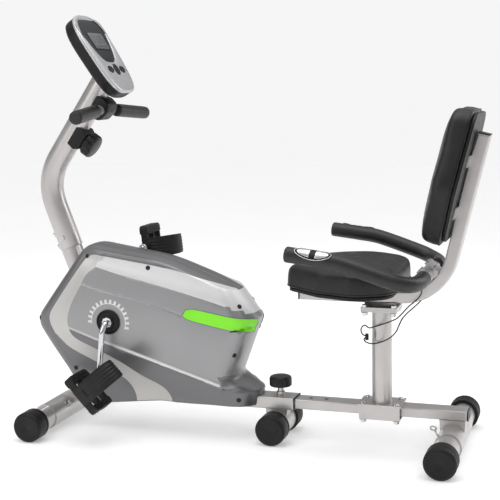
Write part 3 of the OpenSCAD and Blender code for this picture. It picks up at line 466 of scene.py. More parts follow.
def rounded(corners, steps=8, pitch=12.0, lengths=None):
    """A closed outline from corners (x, y, radius), straights cut at about the pitch.

    lengths takes another outline's corners, whose straights then set the number of cuts."""
    def arcs(cs):
        n = len(cs)
        return [corner_arc(cs[i - 1][:2], cs[i][:2], cs[(i + 1) % n][:2], cs[i][2], steps) for i in range(n)]
    own_arcs, other = arcs(corners), arcs(lengths or corners)
    out = []
    for i, arc in enumerate(own_arcs):
        out += arc
        p, q = arc[-1], own_arcs[(i + 1) % len(own_arcs)][0]
        gap = (other[(i + 1) % len(other)][0] - other[i][-1]).length
        cuts = max(1, round(gap / pitch))
        out += [p.lerp(q, k / cuts) for k in range(1, cuts)]
    return out


def inset(points, d):
    """A clockwise outline moved inwards by d."""
    n = len(points)
    out = []
    for i in range(n):
        way = (points[(i + 1) % n] - points[i - 1]).normalized()
        out.append(points[i] + d * Vector((way.y, -way.x)))
    return out


def distances(points, line, closed=False):
    """Distance of each point to a polyline."""
    pts, line = np.asarray(points, float), np.asarray(line, float)
    if closed:
        line = np.vstack([line, line[:1]])
    best = np.full(len(pts), 1e9)
    for a, b in zip(line[:-1], line[1:]):
        d = b - a
        t = np.clip(((pts - a) @ d) / max(1e-9, d @ d), 0, 1)
        gap = pts - (a + t[:, None] * d)
        best = np.minimum(best, np.hypot(gap[:, 0], gap[:, 1]))
    return best


def inside(points, polygon):
    """Which points lie in a polygon."""
    pts, poly = np.asarray(points, float), np.asarray(polygon, float)
    odd = np.zeros(len(pts), bool)
    for a, b in zip(poly, np.roll(poly, -1, 0)):
        spans = (a[1] > pts[:, 1]) != (b[1] > pts[:, 1])
        with np.errstate(divide="ignore", invalid="ignore"):
            cut = (b[0] - a[0]) * (pts[:, 1] - a[1]) / (b[1] - a[1]) + a[0]
        odd ^= spans & (pts[:, 0] < cut)
    return odd


def curve2(points, steps=5):
    """A smooth line through points of the side view."""
    return [Vector((p.x, p.y)) for p in smooth_path([(x, y, 0) for x, y in points], steps)]


# ---------------- shroud

SEAM = [(-58, 292, 46), (104, 506, 44), (330, 470, 400), (526, 393, 10), (582, 318, 12),
        (522, 162, 14), (584, 128, 6), (578, 88, 4), (320, 88, 200), (92, 62, 12)]
SIDE = [(-6, 305, 44), (122, 482, 42), (330, 450, 400), (490, 401, 16), (524, 322, 22),
        (482, 168, 18), (508, 128, 8), (504, 92, 6), (320, 94, 200), (108, 70, 12)]
FACE_Y = 84
BAND_INNER = [(168, 474), (146, 450), (119, 427), (97, 388), (73, 344), (61, 308), (63, 282), (82, 254),
              (148, 225), (211, 196), (267, 164), (330, 133), (352, 100)]
BAND_OUTER = [(16, 262), (34, 244), (64, 220), (151, 179), (203, 152), (231, 126), (245, 96)]
CREASE_TOP = [(150, 446), (221, 427), (306, 408), (402, 384), (470, 366), (512, 354)]
CREASE_LOW = [(104, 402), (161, 385), (304, 354), (385, 330)]
RIDGE = [(64, 284), (146, 257), (178, 248), (298, 212), (420, 174), (480, 155), (506, 146)]


BAND_LINE, TOP_LINE, LOW_LINE, RIDGE_LINE = (
    curve2(line) for line in (BAND_INNER, CREASE_TOP, CREASE_LOW, RIDGE))
OUTER_SIDE = [*BAND_LINE, (352, 0), (-200, 0), (-200, 620), (168, 620)]
BELOW_RIDGE = [(-100, 330), *RIDGE_LINE, (700, 100), (700, -50), (-100, -50)]
GROOVE_HALF = 1.6
LEDGE = 9  # how wide the step up to the ridge is


def face_height(points):
    """|y| of the shroud's side at points of the side view."""
    pts = np.asarray(points, float)
    across = (pts[:, 1] - 340 + 0.2 * pts[:, 0]) / 120
    height = FACE_Y - 9 * np.clip(np.abs(across), 0, 1.3) ** 2
    outer_side = inside(pts, OUTER_SIDE)
    away = distances(pts, BAND_LINE)
    height -= np.where(outer_side, 13 * (1 - np.exp(-away * 0.24 / 9)), 0)
    above = inside(pts, [(60, 478), *TOP_LINE, (700, 310), (700, 700), (60, 700)]) & ~outer_side
    away = distances(pts, TOP_LINE)
    height -= np.where(above, 15 * np.clip(away / 58, 0, 1.2) ** 2, 0)
    for groove in (LOW_LINE, TOP_LINE[6:]):
        height -= 0.9 * np.clip(1 - distances(pts, groove) / GROOVE_HALF, 0, 1)
    away = distances(pts, RIDGE_LINE)
    edge = distances(pts, rounded(SIDE), closed=True)
    size = 2 + 8 * np.clip((pts[:, 0] - 64) / 300, 0, 1)
    ledge = np.clip(away / LEDGE, 0, 1)
    ledge = ledge * ledge * (3 - 2 * ledge)
    fade = edge / (edge + np.maximum(0, away - LEDGE) + 1e-6)
    height += np.where(inside(pts, BELOW_RIDGE) & ~outer_side, size * ledge * fade, 0)
    return height


def band_border(p):
    """How far from the seam to the side the dark top band reaches; it tapers off towards the rear."""
    return 0.985 - 0.93 * min(1, max(0, (p.x - 330) / 190)) if p.y > 300 else 0.985


# (share of the way from the seam to the side, own |y|, drop inwards); over 1 is past the dark band
LIP = [(0.0, 0.3, 1.2), (0.0, 1.3, 0.0)]
ROLL = [0.02, 0.06, 0.13, 0.23, 0.36, 0.52, 0.7, 0.86, 1.0, 1.25, 1.5, 1.75]
TOP_RINGS = 10  # the rings from here on are above the dark band
GRID_PITCH, GRID_ROW = 6.5, 6.5 * 0.87


def roll_points(seam, side, side_y):
    """The rings from the seam round to the side."""
    points = []
    for s0, flat, drop in LIP + [(s, None, 0.0) for s in ROLL]:
        for p, q, y in zip(inset(seam, drop), side, side_y):
            border = band_border(p)
            s = border * s0 if s0 <= 1 else border + (1 - border) * (s0 - 1)
            q = p.lerp(q, s)
            bulge = 2.8 - 0.8 * min(1, max(0, (p.x - 430) / 60))
            share = (1 - (1 - s) ** bulge) ** (1 / bulge)
            points.append((q.x, flat if flat else max(1.3, share * y), q.y))
    return points


def side_mesh(side):
    """Triangles over the flat of the side, cut along its creases, the band and the ridge."""
    verts, edges = list(side), []

    def add_line(line, joined=False):
        ids = []
        for j, p in enumerate(line):
            if joined and j in (0, len(line) - 1):
                ids.append(min(range(len(side)), key=lambda k: (side[k] - p).length))
            elif inside([p], side)[0]:
                verts.append(p)
                ids.append(len(verts) - 1)
        edges.extend(zip(ids[:-1], ids[1:]))
    add_line(BAND_LINE, joined=True)
    add_line(curve2(BAND_OUTER), joined=True)
    for d in (0, 3, 6, 9):
        add_line([p + Vector((0, -d)) for p in RIDGE_LINE[:-1]])
    for groove in (LOW_LINE, TOP_LINE):
        for d in (-GROOVE_HALF, 0, GROOVE_HALF):
            add_line([p + Vector((0, d)) for p in groove])
    lines = np.array(verts)
    grid = np.array([(-20 + GRID_PITCH * (col + 0.5 * (row % 2)), 66 + GRID_ROW * row)
                     for row in range(int(440 / GRID_ROW)) for col in range(int(620 / GRID_PITCH))])
    grid = grid[inside(grid, side)]
    grid = grid[distances(grid, side, closed=True) > 4]
    near = np.array([np.min(np.hypot(*(lines - g).T)) for g in grid])
    verts += [Vector(g) for g in grid[near > 3.2]]
    out = geometry.delaunay_2d_cdt(verts, edges, [tuple(range(len(side)))], 1, 1e-4)
    return out[0], out[2], out[3]


def shroud_faces():
    """Points (x, |y|, z), faces and looks of one shroud half, seen from its outside."""
    seam = rounded(SEAM, lengths=SEAM)
    side = rounded(SIDE, lengths=SEAM)
    n = len(seam)
    side_y = face_height(side)
    points = roll_points(seam, side, side_y)
    base = len(points)
    points += [(p.x, y, p.y) for p, y in zip(side, side_y)]
    faces = strip(base // n + 1, n)
    ring_faces = len(faces)
    flat, triangles, sources = side_mesh(side)
    index = {}
    for i, (v, height) in enumerate(zip(flat, face_height([(v.x, v.y) for v in flat]))):
        ring = next((k for k in sources[i] if k < n), None)
        index[i] = len(points) if ring is None else base + ring
        if ring is None:
            points.append((v.x, height, v.y))
    for tri in triangles:
        a, b, c = (flat[i] for i in tri)
        turn = (b.x - a.x) * (c.y - a.y) - (b.y - a.y) * (c.x - a.x)
        ids = [index[i] for i in tri]
        faces.append(tuple(ids if turn < 0 else ids[::-1]))
    centres = np.array([np.mean([(points[i][0], points[i][2]) for i in f], axis=0) for f in faces])
    light = inside(centres, [*BAND_LINE, (352, 40), (245, 40), *reversed(curve2(BAND_OUTER)),
                             (-90, 262), (-90, 560), (168, 560)])
    below = inside(centres, BELOW_RIDGE)
    dark = below | inside(centres, OUTER_SIDE)
    # faces above the top crease get the painted highlight grey
    above = inside(centres, [(60, 478), *TOP_LINE, (700, 300), (700, 700), (60, 700)])
    # a pale strip just under the ridge is a painted highlight, standing in for the light that the ridge's lip
    # catches
    light |= below & (distances(centres, RIDGE_LINE) < 6) & (centres[:, 0] < 490)
    silver, dark_look, pale_and_highlight_look, painted_highlight_look = range(4)
    looks = []
    for i, (x, z) in enumerate(centres):
        if i < ring_faces:
            over = x > 330 and z > 354 - 0.35 * (x - 512)
            # ring faces over the top, past the dark band, get the painted highlight grey too
            if over and (x > 500 and z < 390 or i >= TOP_RINGS * n):
                looks.append(painted_highlight_look)
            else:
                looks.append(silver if x > 470 and 172 < z < 380 else dark_look)
        else:
            looks.append(pale_and_highlight_look if light[i] else dark_look if dark[i]
                         else painted_highlight_look if above[i] else silver)
    return points, faces, looks


def add_shroud():
    points, faces, looks = shroud_faces()
    made = {}
    for name, sign in (("shroud_left", -1), ("shroud_right", 1)):
        verts = [at(x, sign * y, z) for x, y, z in points]
        turned = [f if sign > 0 else f[::-1] for f in faces]
        piece = make(name + "_shell", verts, turned, [SHROUD, SHROUD_DARK, SHROUD_PALE_AND_HIGHLIGHT, SHROUD_PAINTED_HIGHLIGHT], 50)
        piece.data.polygons.foreach_set("material_index", looks)
        made[sign] = own(piece, "frame", "shroud_silver", name)
    return made


def surface_of(piece):
    """A tree of the piece's triangles, to cast rays at."""
    piece.data.calc_loop_triangles()
    return BVHTree.FromPolygons([v.co for v in piece.data.vertices],
                                [t.vertices for t in piece.data.loop_triangles])


STRIPE_TOP = [(404, 350), (480, 337), (530, 328), (572, 321), (592, 318)]
STRIPE_LOW = [(388, 322), (480, 303), (530, 294), (560, 288), (592, 283)]
STRIPE_ROWS = 7
STRIPE_PROUD, STRIPE_SUNK = 0.0012, 0.0008
STRIPE_START = (0.24, 0.09, 0.02)  # how far the first columns are drawn in, which rounds the stripe's start
CORNER_X = 500  # behind this the side turns round the rear corner


def add_stripe(shell, sign):
    """The green inlay that runs along the side and round the rear corner."""
    tree = surface_of(shell)
    rows, rings = STRIPE_ROWS, []
    for j, (p, q) in enumerate(zip(curve2(STRIPE_LOW, 10), curve2(STRIPE_TOP, 10))):
        ring = []
        squeeze = STRIPE_START[j] if j < len(STRIPE_START) else 0
        for i in range(rows):
            x, z = p.lerp(q, squeeze + (1 - 2 * squeeze) * i / (rows - 1))
            origin, aim = at(x, sign * 140, z), Vector((0, -sign, 0))
            if x > CORNER_X:
                angle = radians(min(80, (x - CORNER_X) * 0.87))
                aim = Vector((-sin(angle), -sign * cos(angle), 0))
                origin = at(CORNER_X, sign * 10, z) - aim * 0.16
            hit, normal, _, _ = tree.ray_cast(origin, aim)
            ring.append((hit, -normal if normal.dot(aim) > 0 else normal))
        rings.append(ring)
    tops, bottoms = [], []
    for j, ring in enumerate(rings):
        for i, (hit, _) in enumerate(ring):
            near = [rings[min(max(j + d, 0), len(rings) - 1)][i][1] for d in range(-3, 4)]
            normal = sum(near, Vector()).normalized()
            tops.append(hit + normal * STRIPE_PROUD)
            bottoms.append(hit - normal * STRIPE_SUNK)
    count, cols = len(tops), len(rings)
    faces = []
    for j in range(cols - 1):
        for i in range(rows - 1):
            a = j * rows + i
            quad = (a, a + 1, a + rows + 1, a + rows)
            faces += [quad, tuple(v + count for v in reversed(quad))]
    rim = [*range(rows), *range(2 * rows - 1, cols * rows, rows)]
    rim += [*range(cols * rows - 2, (cols - 1) * rows - 1, -1), *range((cols - 2) * rows, 0, -rows)]
    faces += [(b, a, a + count, b + count) for a, b in zip(rim, rim[1:] + rim[:1])]
    if sign > 0:
        faces = [f[::-1] for f in faces]
    name = shell.name.replace("_shell", "_stripe")
    own(make(name, tops + bottoms, faces, [GREEN], 50), "frame", "shroud_silver")
    edge = ring_tube(name + "_edge", [tops[i] for i in rim], 0.0008, [SHROUD_DARK], 8)
    own(edge, "frame", "shroud_silver")


CRANK_X, CRANK_Z = 182, 303
SCREWS = [(118, 474), (292, 448), (540, 354), (527, 228), (536, 110), (-34, 300), (66, 165)]


SCREW_PROFILE = [(6.2, -0.4), (6.2, 0.6), (5.8, 1.0), (5.2, 0.8), (4.7, 0.35), (2.8, 0.35), (2.4, 0.7),
                 (1.0, 0.7)]
SCREW_SIDES = 24
TEETH, TEETH_FIRST, TEETH_LAST = 15, 188, -22  # how many, and the angles that the ring runs between
TEETH_INNER, TEETH_FOOT, TEETH_TIP = 48, 50, 60


def add_shroud_trim(shells):
    """Screw heads, and the printed tooth ring round the crank."""
    trees = {sign: surface_of(shell) for sign, shell in shells.items()}
    bm = bmesh.new()
    for sign, tree in trees.items():
        for x, z in SCREWS:
            hit, normal, _, _ = tree.ray_cast(at(x, sign * 140, z), Vector((0, -sign, 0)))
            normal = normal if normal.y * sign > 0 else -normal
            place = Matrix.Translation(hit) @ normal.to_track_quat("Z", "Y").to_matrix().to_4x4()
            verts = [bm.verts.new(place @ (MM * Vector((r * cos(a), r * sin(a), h))))
                     for r, h in SCREW_PROFILE for a in turns(SCREW_SIDES)]
            for face in strip(len(SCREW_PROFILE), SCREW_SIDES):
                bm.faces.new([verts[i] for i in face])
            bm.faces.new(verts[-SCREW_SIDES:])
            bm.faces.new(verts[SCREW_SIDES - 1::-1])
    own(from_bmesh("shroud_screw_heads", bm, [SCREW_BLACK]), "frame", "black_plastic", "shroud_screws")
    turn = TEETH_LAST - TEETH_FIRST
    outline = [(TEETH_FIRST + turn * (k + share) / TEETH, radius) for k in range(TEETH)
               for share, radius in ((0, TEETH_FOOT), (0.2, TEETH_FOOT), (0.3, TEETH_TIP), (0.7, TEETH_TIP),
                                     (0.8, TEETH_FOOT))]
    outline += [(TEETH_LAST, TEETH_FOOT)] + [(TEETH_LAST - turn * k / 40, TEETH_INNER) for k in range(41)]
    ring = [at(CRANK_X + r * cos(radians(a)), 0, CRANK_Z + r * sin(radians(a)))
            for a, r in outline]
    for sign, tree in trees.items():
        add_print("tooth_ring_" + ("left" if sign < 0 else "right"), ring, tree, sign)


PRINT_PROUD, PRINT_SUNK = 0.0004, 0.0006


def add_print(name, ring, tree, sign):
    """A thin printed shape laid on the shroud's side from its outline."""
    points, edges, triangles = geometry.delaunay_2d_cdt(
        [Vector((p.x, p.z)) for p in ring], [], [tuple(range(len(ring)))], 1, 1e-7)[:3]
    verts = []
    for lift in (PRINT_PROUD, -PRINT_SUNK):
        for p in points:
            hit = tree.ray_cast(Vector((p.x, sign * 0.14, p.y)), Vector((0, -sign, 0)))[0]
            verts.append(hit + Vector((0, sign * lift, 0)))
    n = len(points)
    faces = []
    used = {}
    for tri in triangles:
        a, b, c = (points[i] for i in tri)
        turn = (b.x - a.x) * (c.y - a.y) - (b.y - a.y) * (c.x - a.x)
        face = tuple(tri) if (turn > 0) == (sign < 0) else tuple(reversed(tri))
        faces += [face, tuple(i + n for i in reversed(face))]
        for pair in zip(tri, (*tri[1:], tri[0])):
            used[frozenset(pair)] = used.get(frozenset(pair), 0) + 1
    for a, b in edges:
        if used.get(frozenset((a, b)), 0) == 1:
            faces.append((a, b, b + n, a + n))
    own(make(name, verts, faces, [PRINT], 50), "frame", "shroud_silver")


# ---------------- cords

LEAD_R = 1.6
LEADS = {
    "pulse_lead_left": [
        (1014, -96, 434), (1013, -88, 424), (1009, -76, 411), (1000, -60, 397), (988, -47, 384),
        (972, -39, 370), (956, -36, 352), (942, -35, 338), (925, -34, 329), (905, -33, 321),
        (886, -32, 314), (872, -32, 310), (862, -32, 316), (854, -32, 312), (851, -32, 303),
        (854, -32, 294), (860, -32, 290), (865, -32, 289)],
    "pulse_lead_right": [
        (1014, 96, 434), (1013, 88, 424), (1009, 72, 409), (1002, 52, 392), (992, 30, 374), (978, 8, 360),
        (964, -14, 348), (954, -28, 336), (948, -36, 322), (941, -38, 306), (928, -38, 291),
        (910, -37, 280), (892, -36, 273), (876, -35, 271), (864, -34, 274), (859, -33, 280),
        (861, -32, 284), (865, -32, 285)],
}


def add_leads():
    plug = bevelled("lead_plug_shell", rounded([(0, -4, 1.6), (0, 4, 1.6), (8, 4, 1.6), (8, -4, 1.6)], 3, 40),
                    16, placed(862, -32, 279), [PLASTIC], 0.9, 2)
    own(plug, "seat", "lead_rubber", "lead_plug")
    for name, route in LEADS.items():
        path = smooth_path([at(*p) for p in route], 6)
        cable = own(tube(name + "_cable", path, LEAD_R * MM, [LEAD], 14), "seat", "lead_rubber", name)


# ---------------- pads

VOXEL = 0.005
PRESSURE, MOST_MOVE = 4.0, 0.008
CLOTH_STEPS = 20
CLOTH_VALUES = (("quality", 5), ("mass", 0.3), ("tension_stiffness", 20), ("compression_stiffness", 20),
                ("shear_stiffness", 8), ("bending_stiffness", 4), ("use_pressure", True),
                ("uniform_pressure_force", PRESSURE), ("vertex_group_mass", "held"))
EVEN_PASSES, EVEN_SHARE = 60, 0.6


def settle(piece):
    """Replaces a piece's mesh with what its modifiers make of it."""
    done = piece.evaluated_get(bpy.context.evaluated_depsgraph_get())
    mesh = bpy.data.meshes.new_from_object(done)
    piece.modifiers.clear()
    piece.data = mesh


def inflate(piece, held):
    """Blows a closed skin up as cloth, then evens the swelling out, as firm foam under it does.

    held is how firmly each vertex stays, from 0 to 1."""
    group = piece.vertex_groups.new(name="held")
    for i, firmness in enumerate(held):
        if firmness > 0:
            group.add([i], firmness, "REPLACE")
    start = np.empty(len(piece.data.vertices) * 3)
    piece.data.vertices.foreach_get("co", start)
    cloth = piece.modifiers.new("cloth", "CLOTH")
    for value in CLOTH_VALUES:
        setattr(cloth.settings, *value)
    cloth.settings.effector_weights.gravity = 0
    cloth.collision_settings.use_collision = False
    cloth.point_cache.frame_start, cloth.point_cache.frame_end = 1, CLOTH_STEPS
    for step in range(1, CLOTH_STEPS + 1):
        scene.frame_set(step)
    settle(piece)
    end = np.empty_like(start)
    piece.data.vertices.foreach_get("co", end)
    moved = (end - start).reshape(-1, 3)
    size = np.linalg.norm(moved, axis=1, keepdims=True)
    moved *= np.minimum(1, MOST_MOVE / np.maximum(size, 1e-9))
    pairs = np.array([e.vertices[:] for e in piece.data.edges])
    free = np.maximum(1 - np.array(held)[:, None], 0.1)
    count = np.bincount(pairs.ravel(), minlength=len(moved))[:, None]
    for _ in range(EVEN_PASSES):
        total = np.zeros_like(moved)
        np.add.at(total, pairs[:, 0], moved[pairs[:, 1]])
        np.add.at(total, pairs[:, 1], moved[pairs[:, 0]])
        moved = ((1 - EVEN_SHARE) * moved + EVEN_SHARE * total / count) * free
    piece.data.vertices.foreach_set("co", start + moved.ravel())
    piece.data.update()
    scene.frame_set(1)


SEWN_BAND, SEWN_HALF = 9, 2.8  # mm from the side and from the seam that count as sewn
BASE_BAND = 7  # mm of height that count as held by the board
WELT_R = 0.0015


def pad(name, node, outline, levels, seam, place):
    """A sewn cushion. levels are (share of the way to the middle, height); seam is its height on the side."""
    middle = sum(outline, Vector((0, 0))) / len(outline)
    rings = [[place @ Vector((*p.lerp(middle, share), height)) for p in reversed(outline)]
             for share, height in levels]
    skin = loft(name, rings, [VINYL], smooth=180)
    change = skin.modifiers.new("voxels", "REMESH")
    change.mode = "VOXEL"
    change.voxel_size = VOXEL
    change.use_smooth_shade = True
    settle(skin)
    back = place.inverted()
    flat = [back @ v.co for v in skin.data.vertices]
    rim = distances([(p.x, p.y) for p in flat], outline, closed=True)
    inflate(skin, [1.0 if p.z < levels[0][1] + BASE_BAND
                   else 0.9 if away < SEWN_BAND and abs(p.z - seam) < SEWN_HALF else 0.0
                   for p, away in zip(flat, rim)])
    skin.data.materials.clear()
    skin.data.materials.append(VINYL)
    skin.data.polygons.foreach_set("use_smooth", [True] * len(skin.data.polygons))
    tree = BVHTree.FromObject(skin, bpy.context.evaluated_depsgraph_get())
    smoother = skin.modifiers.new("smoother", "SUBSURF")
    smoother.levels = smoother.render_levels = 1
    own(skin, BODY_OF[node], "vinyl", node)
    line = []
    for k, p in enumerate(outline):
        way = outline[(k + 1) % len(outline)] - outline[k - 1]
        out = Vector((-way.y, way.x)).normalized()
        on_line = place @ Vector((*p, seam))
        origin = place @ Vector((*(p + 60 * out), seam))
        aim = (on_line - origin).normalized()
        line.append((tree.ray_cast(origin, aim)[0] or on_line) - aim * 0.0004)
    own(ring_tube(name + "_welt_0", line, WELT_R, [PIPING]), BODY_OF[node], "vinyl")


def ring_tube(name, line, radius, looks, n=10):
    """A closed cord round a line of points."""
    count = len(line)
    verts = []
    side = Vector((0, 0, 1))
    for i in range(count):
        way = (line[(i + 1) % count] - line[i - 1]).normalized()
        side = (side - way * side.dot(way)).normalized() if abs(side.dot(way)) < 0.99 else way.orthogonal()
        other = way.cross(side)
        verts += [line[i] + radius * (cos(a) * side + sin(a) * other) for a in turns(n)]
    return make(name, verts, strip(count, n, wrap=True), looks, 180)


SEAT_CORNERS = [(668, -68, 40), (668, 68, 40), (766, 146, 60), (866, 180, 60), (952, 140, 66),
                (952, -140, 66), (866, -180, 60), (766, -146, 60)]
BACK_CORNERS = [(-98, -8, 44), (-132, 130, 90), (-104, 322, 46), (104, 322, 46), (132, 130, 90), (98, -8, 44)]
BACK = (placed(950, 0, 513, 14) @ Matrix.Rotation(pi, 4, "Z") @ Matrix.Translation((-110, 0, 44))
        @ Matrix.Rotation(pi / 2, 4, "Z") @ Matrix.Rotation(pi / 2, 4, "X"))


def add_pads():
    pad("seat_cushion_skin", "seat_cushion", rounded(SEAT_CORNERS, 10, 9),
        [(0.03, 412), (0.012, 414), (0.006, 419), (0.004, 440), (0.01, 454), (0.03, 462), (0.07, 467),
         (0.15, 471), (0.32, 474.5), (0.6, 476.5), (0.9, 477)], 417.5, placed(0, 0, 0))
    pad("back_cushion_skin", "back_cushion", rounded(BACK_CORNERS, 10, 9),
        [(0.035, 11.8), (0.012, 13.5), (0.006, 18), (0.0, 36), (0.006, 50), (0.025, 57), (0.06, 60.5),
         (0.16, 62.5), (0.35, 63.5), (0.6, 64), (0.9, 64)], 16.5, BACK)


# ---------------- tubes, bars and pedals

UP = placed(16.3, 0, 731.8, 35)  # along the mast's upper straight
DIAL = UP @ Matrix.Translation((0, 0, 81.5))
DIAL_AXIS = DIAL @ Matrix.Rotation(pi / 2, 4, "Y")
BAR_MID = Vector((157, 0, 856.7))
BAR_END = Vector((21, 211, -14))
ARM_PATH = [(1018, -98, 452), (1018, -130, 451), (1014, -160, 450), (1004, -186, 451), (988, -205, 455),
            (966, -216, 463), (930, -221, 475), (885, -224, 490), (850, -225, 501), (828, -225, 506),
            (800, -225, 510), (715, -225, 521)]
ARM_END = (164.44, -122, 135.92)
MAST_R, MAST_BEND, CONSOLE_BACK = 0.031, 0.145, -32.6
BAR_R, BAR_BEND = 0.0125, 0.03
GRIP_R, GRIP_RIB, GRIP_LENGTH = 0.0168, 0.0005, 0.152
ARM_FOAM_R = 0.019
SENSOR_BACK, SENSOR_TILT = 69, 38  # mm from the armrest's tip, and degrees that it leans inwards


def filleted(points, radius, steps=8):
    """A path of straights with round bends."""
    pts = [Vector(p) for p in points]
    out = [pts[0]]
    for a, b, c in zip(pts, pts[1:], pts[2:]):
        u, v = (a - b).normalized(), (c - b).normalized()
        half = u.angle(v) / 2
        reach = min(radius / tan(half), 0.45 * (a - b).length, 0.45 * (c - b).length)
        p, q = b + u * reach, b + v * reach
        for k in range(steps + 1):
            t = k / steps
            out.append(p.lerp(b, t).lerp(b.lerp(q, t), t))
    return out + [pts[-1]]


def add_mast():
    """The bent tube, cut off along the back of the console."""
    line = filleted([at(40.6, 0, 487), at(-27, 0, 670), at(178.1, 0, 962.9)], MAST_BEND, 18)
    mast = tube("mast_tube", line, MAST_R, [SILVER], 72, 0.0012)
    bm = bmesh.new()
    bm.from_mesh(mast.data)
    cut = bmesh.ops.bisect_plane(bm, geom=[*bm.verts, *bm.edges, *bm.faces], clear_outer=True,
                                 plane_co=FACE @ Vector((0, 0, CONSOLE_BACK)),
                                 plane_no=FACE.to_3x3() @ Vector((0, 0, 1)))
    bmesh.ops.holes_fill(bm, edges=[e for e in cut["geom_cut"] if isinstance(e, bmesh.types.BMEdge)], sides=0)
    bm.to_mesh(mast.data)
    bm.free()
    mast.data.set_sharp_from_angle(angle=radians(40))
    own(mast, "frame", "silver_paint", "mast")


def add_handlebar():
    mid = at(*BAR_MID)
    ends = [mid + MM * Vector((BAR_END.x, s * BAR_END.y, BAR_END.z)) for s in (-1, 1)]
    bends = [mid + Vector((0, s * 0.036, 0)) for s in (-1, 1)]
    line = filleted([ends[0], bends[0], bends[1], ends[1]], BAR_BEND)
    own(tube("handlebar_tube", line[1:-1], BAR_R, [SILVER], 40), "frame", "silver_paint", "handlebar")
    for name, bend, end in (("grip_left", bends[0], ends[0]), ("grip_right", bends[1], ends[1])):
        way = (end - bend).normalized()
        line = [end - way * GRIP_LENGTH * (60 - k) / 60 for k in range(61)]
        radii = [GRIP_R + (GRIP_RIB if 4 < k < 56 and k % 3 else 0) for k in range(61)]
        grip = own(tube(name + "_sleeve", line, radii, [FOAM], 48, 0.005), "frame", "foam", name)


def add_armrests():
    inner = [(x, -y, z) for x, y, z in reversed(ARM_PATH[:3])]
    bar = smooth_path([at(*p) for p in [*reversed(ARM_PATH[:3]), *[(1018, y, 452) for y in (-60, 0, 60)],
                                        *reversed(inner)]], 8)
    own(tube("armrest_bar_tube", bar, BAR_R, [CHROME], 40), "seat", "chrome", "armrest_bar")
    for name, s in (("left", 1), ("right", -1)):
        line = smooth_path([at(x, s * y, z) for x, y, z in ARM_PATH], 6)
        foam = own(tube(f"arm_foam_{name}_sleeve", line, ARM_FOAM_R, [FOAM], 40, 0.006), "seat", "foam",
                   f"arm_foam_{name}")
        add_sensor(f"pulse_sensor_{name}", s)


def add_sensor(name, s):
    """Two chrome contact plates on a black oval base, wrapped over the armrest's tip."""
    tip, back = Vector((715, -225, 521)), Vector((800, -225, 510))
    way = (tip - back).normalized()
    up, tilt = Vector((way.z, 0, -way.x)), radians(SENSOR_TILT)
    out = up * cos(tilt) - Vector((0, sin(tilt), 0))
    across = up * sin(tilt) + Vector((0, cos(tilt), 0))

    def on_foam(u, w, r):
        p = tip - way * (SENSOR_BACK - u) + across * w + out * sqrt(max(1, r * r - w * w))
        return at(p.x, s * p.y, p.z)

    def patch(label, outline, looks, r0, r1, slot_name, *nodes):
        middle = sum(outline, Vector((0, 0))) / len(outline)
        rings = []
        for share, radius in ((1, r0), (1, (r0 + r1) / 2), (0.985, r1 - 0.25), (0.95, r1),
                              (0.75, r1 + 0.2), (0.5, r1 + 0.3), (0.2, r1 + 0.3)):
            rings.append([on_foam(*middle.lerp(p, share), radius) for p in outline])
        if s < 0:
            rings = [ring[::-1] for ring in rings]
        own(loft(label, rings, looks, smooth=50), "seat", slot_name, *nodes)

    oval = [Vector((46 * cos(a), 17 * sin(a))) for a in turns(72)]
    patch(name + "_base", oval, [PLASTIC], 18.4, 20.4, "black_plastic")
    line = [on_foam(p.x * 0.955, p.y * 0.94, 20.6) for p in oval]
    own(ring_tube(name + "_ring", line, 0.0009, [CHROME], 8), "seat", "chrome")
    half_gap, long, wide = 7, 38, 12.5
    start = acos(half_gap / long)
    for label, side in (("front", 1), ("rear", -1)):
        arc = [Vector((side * long * cos(a), side * wide * sin(a)))
               for a in (start * (2 * k / 30 - 1) for k in range(31))]
        arc += [arc[-1].lerp(arc[0], k / 12) for k in range(1, 12)]
        nodes = [name] if side > 0 else []
        patch(f"{name}_plate_{label}", arc, [CHROME], 19.6, 21.6, "chrome", *nodes)


def turned_over(p):
    """The place across the crank axle from a place, for the other arm and pedal."""
    return (2 * CRANK_X - p[0], -p[1], 2 * CRANK_Z - p[2])


def add_crank():
    for name, flip in (("left", lambda p: p), ("right", turned_over)):
        points = [(CRANK_X, 0, CRANK_Z), (CRANK_X, -104, CRANK_Z), (178, -118, 281), ARM_END]
        line = filleted([at(*flip(p)) for p in points], 0.016, 8)
        radii = [0.008 if i < 10 else 0.0076 for i in range(len(line))]
        arm = tube(f"crank_arm_{name}", line, radii, [CHROME], 40)
        own(arm, "crank", "chrome", *(["crank"] if name == "left" else []))
        place = placed(*flip(ARM_END)) @ (TO_LEFT if name == "left" else TO_RIGHT)
        eye = [(7.05, -8), (11.3, -8), (12.3, -7), (12.5, -5.5)]
        eye += [(r, -h) for r, h in reversed(eye)]
        own(lathe(f"crank_eye_{name}", eye, place, [CHROME], 48), "crank", "chrome")
        spindle = [(3, -6.5), (5.6, -8.6), (7, -8), (7, 9), (10, 9.2), (10.2, 10.4), (10, 11.4), (7.2, 11.6),
                   (6.9, 12), (6.9, 56), (5.9, 101)]
        own(lathe(f"spindle_{name}", spindle, place, [CHROME], 40), "crank", "chrome",
            *(["pedal_spindles"] if name == "left" else []))


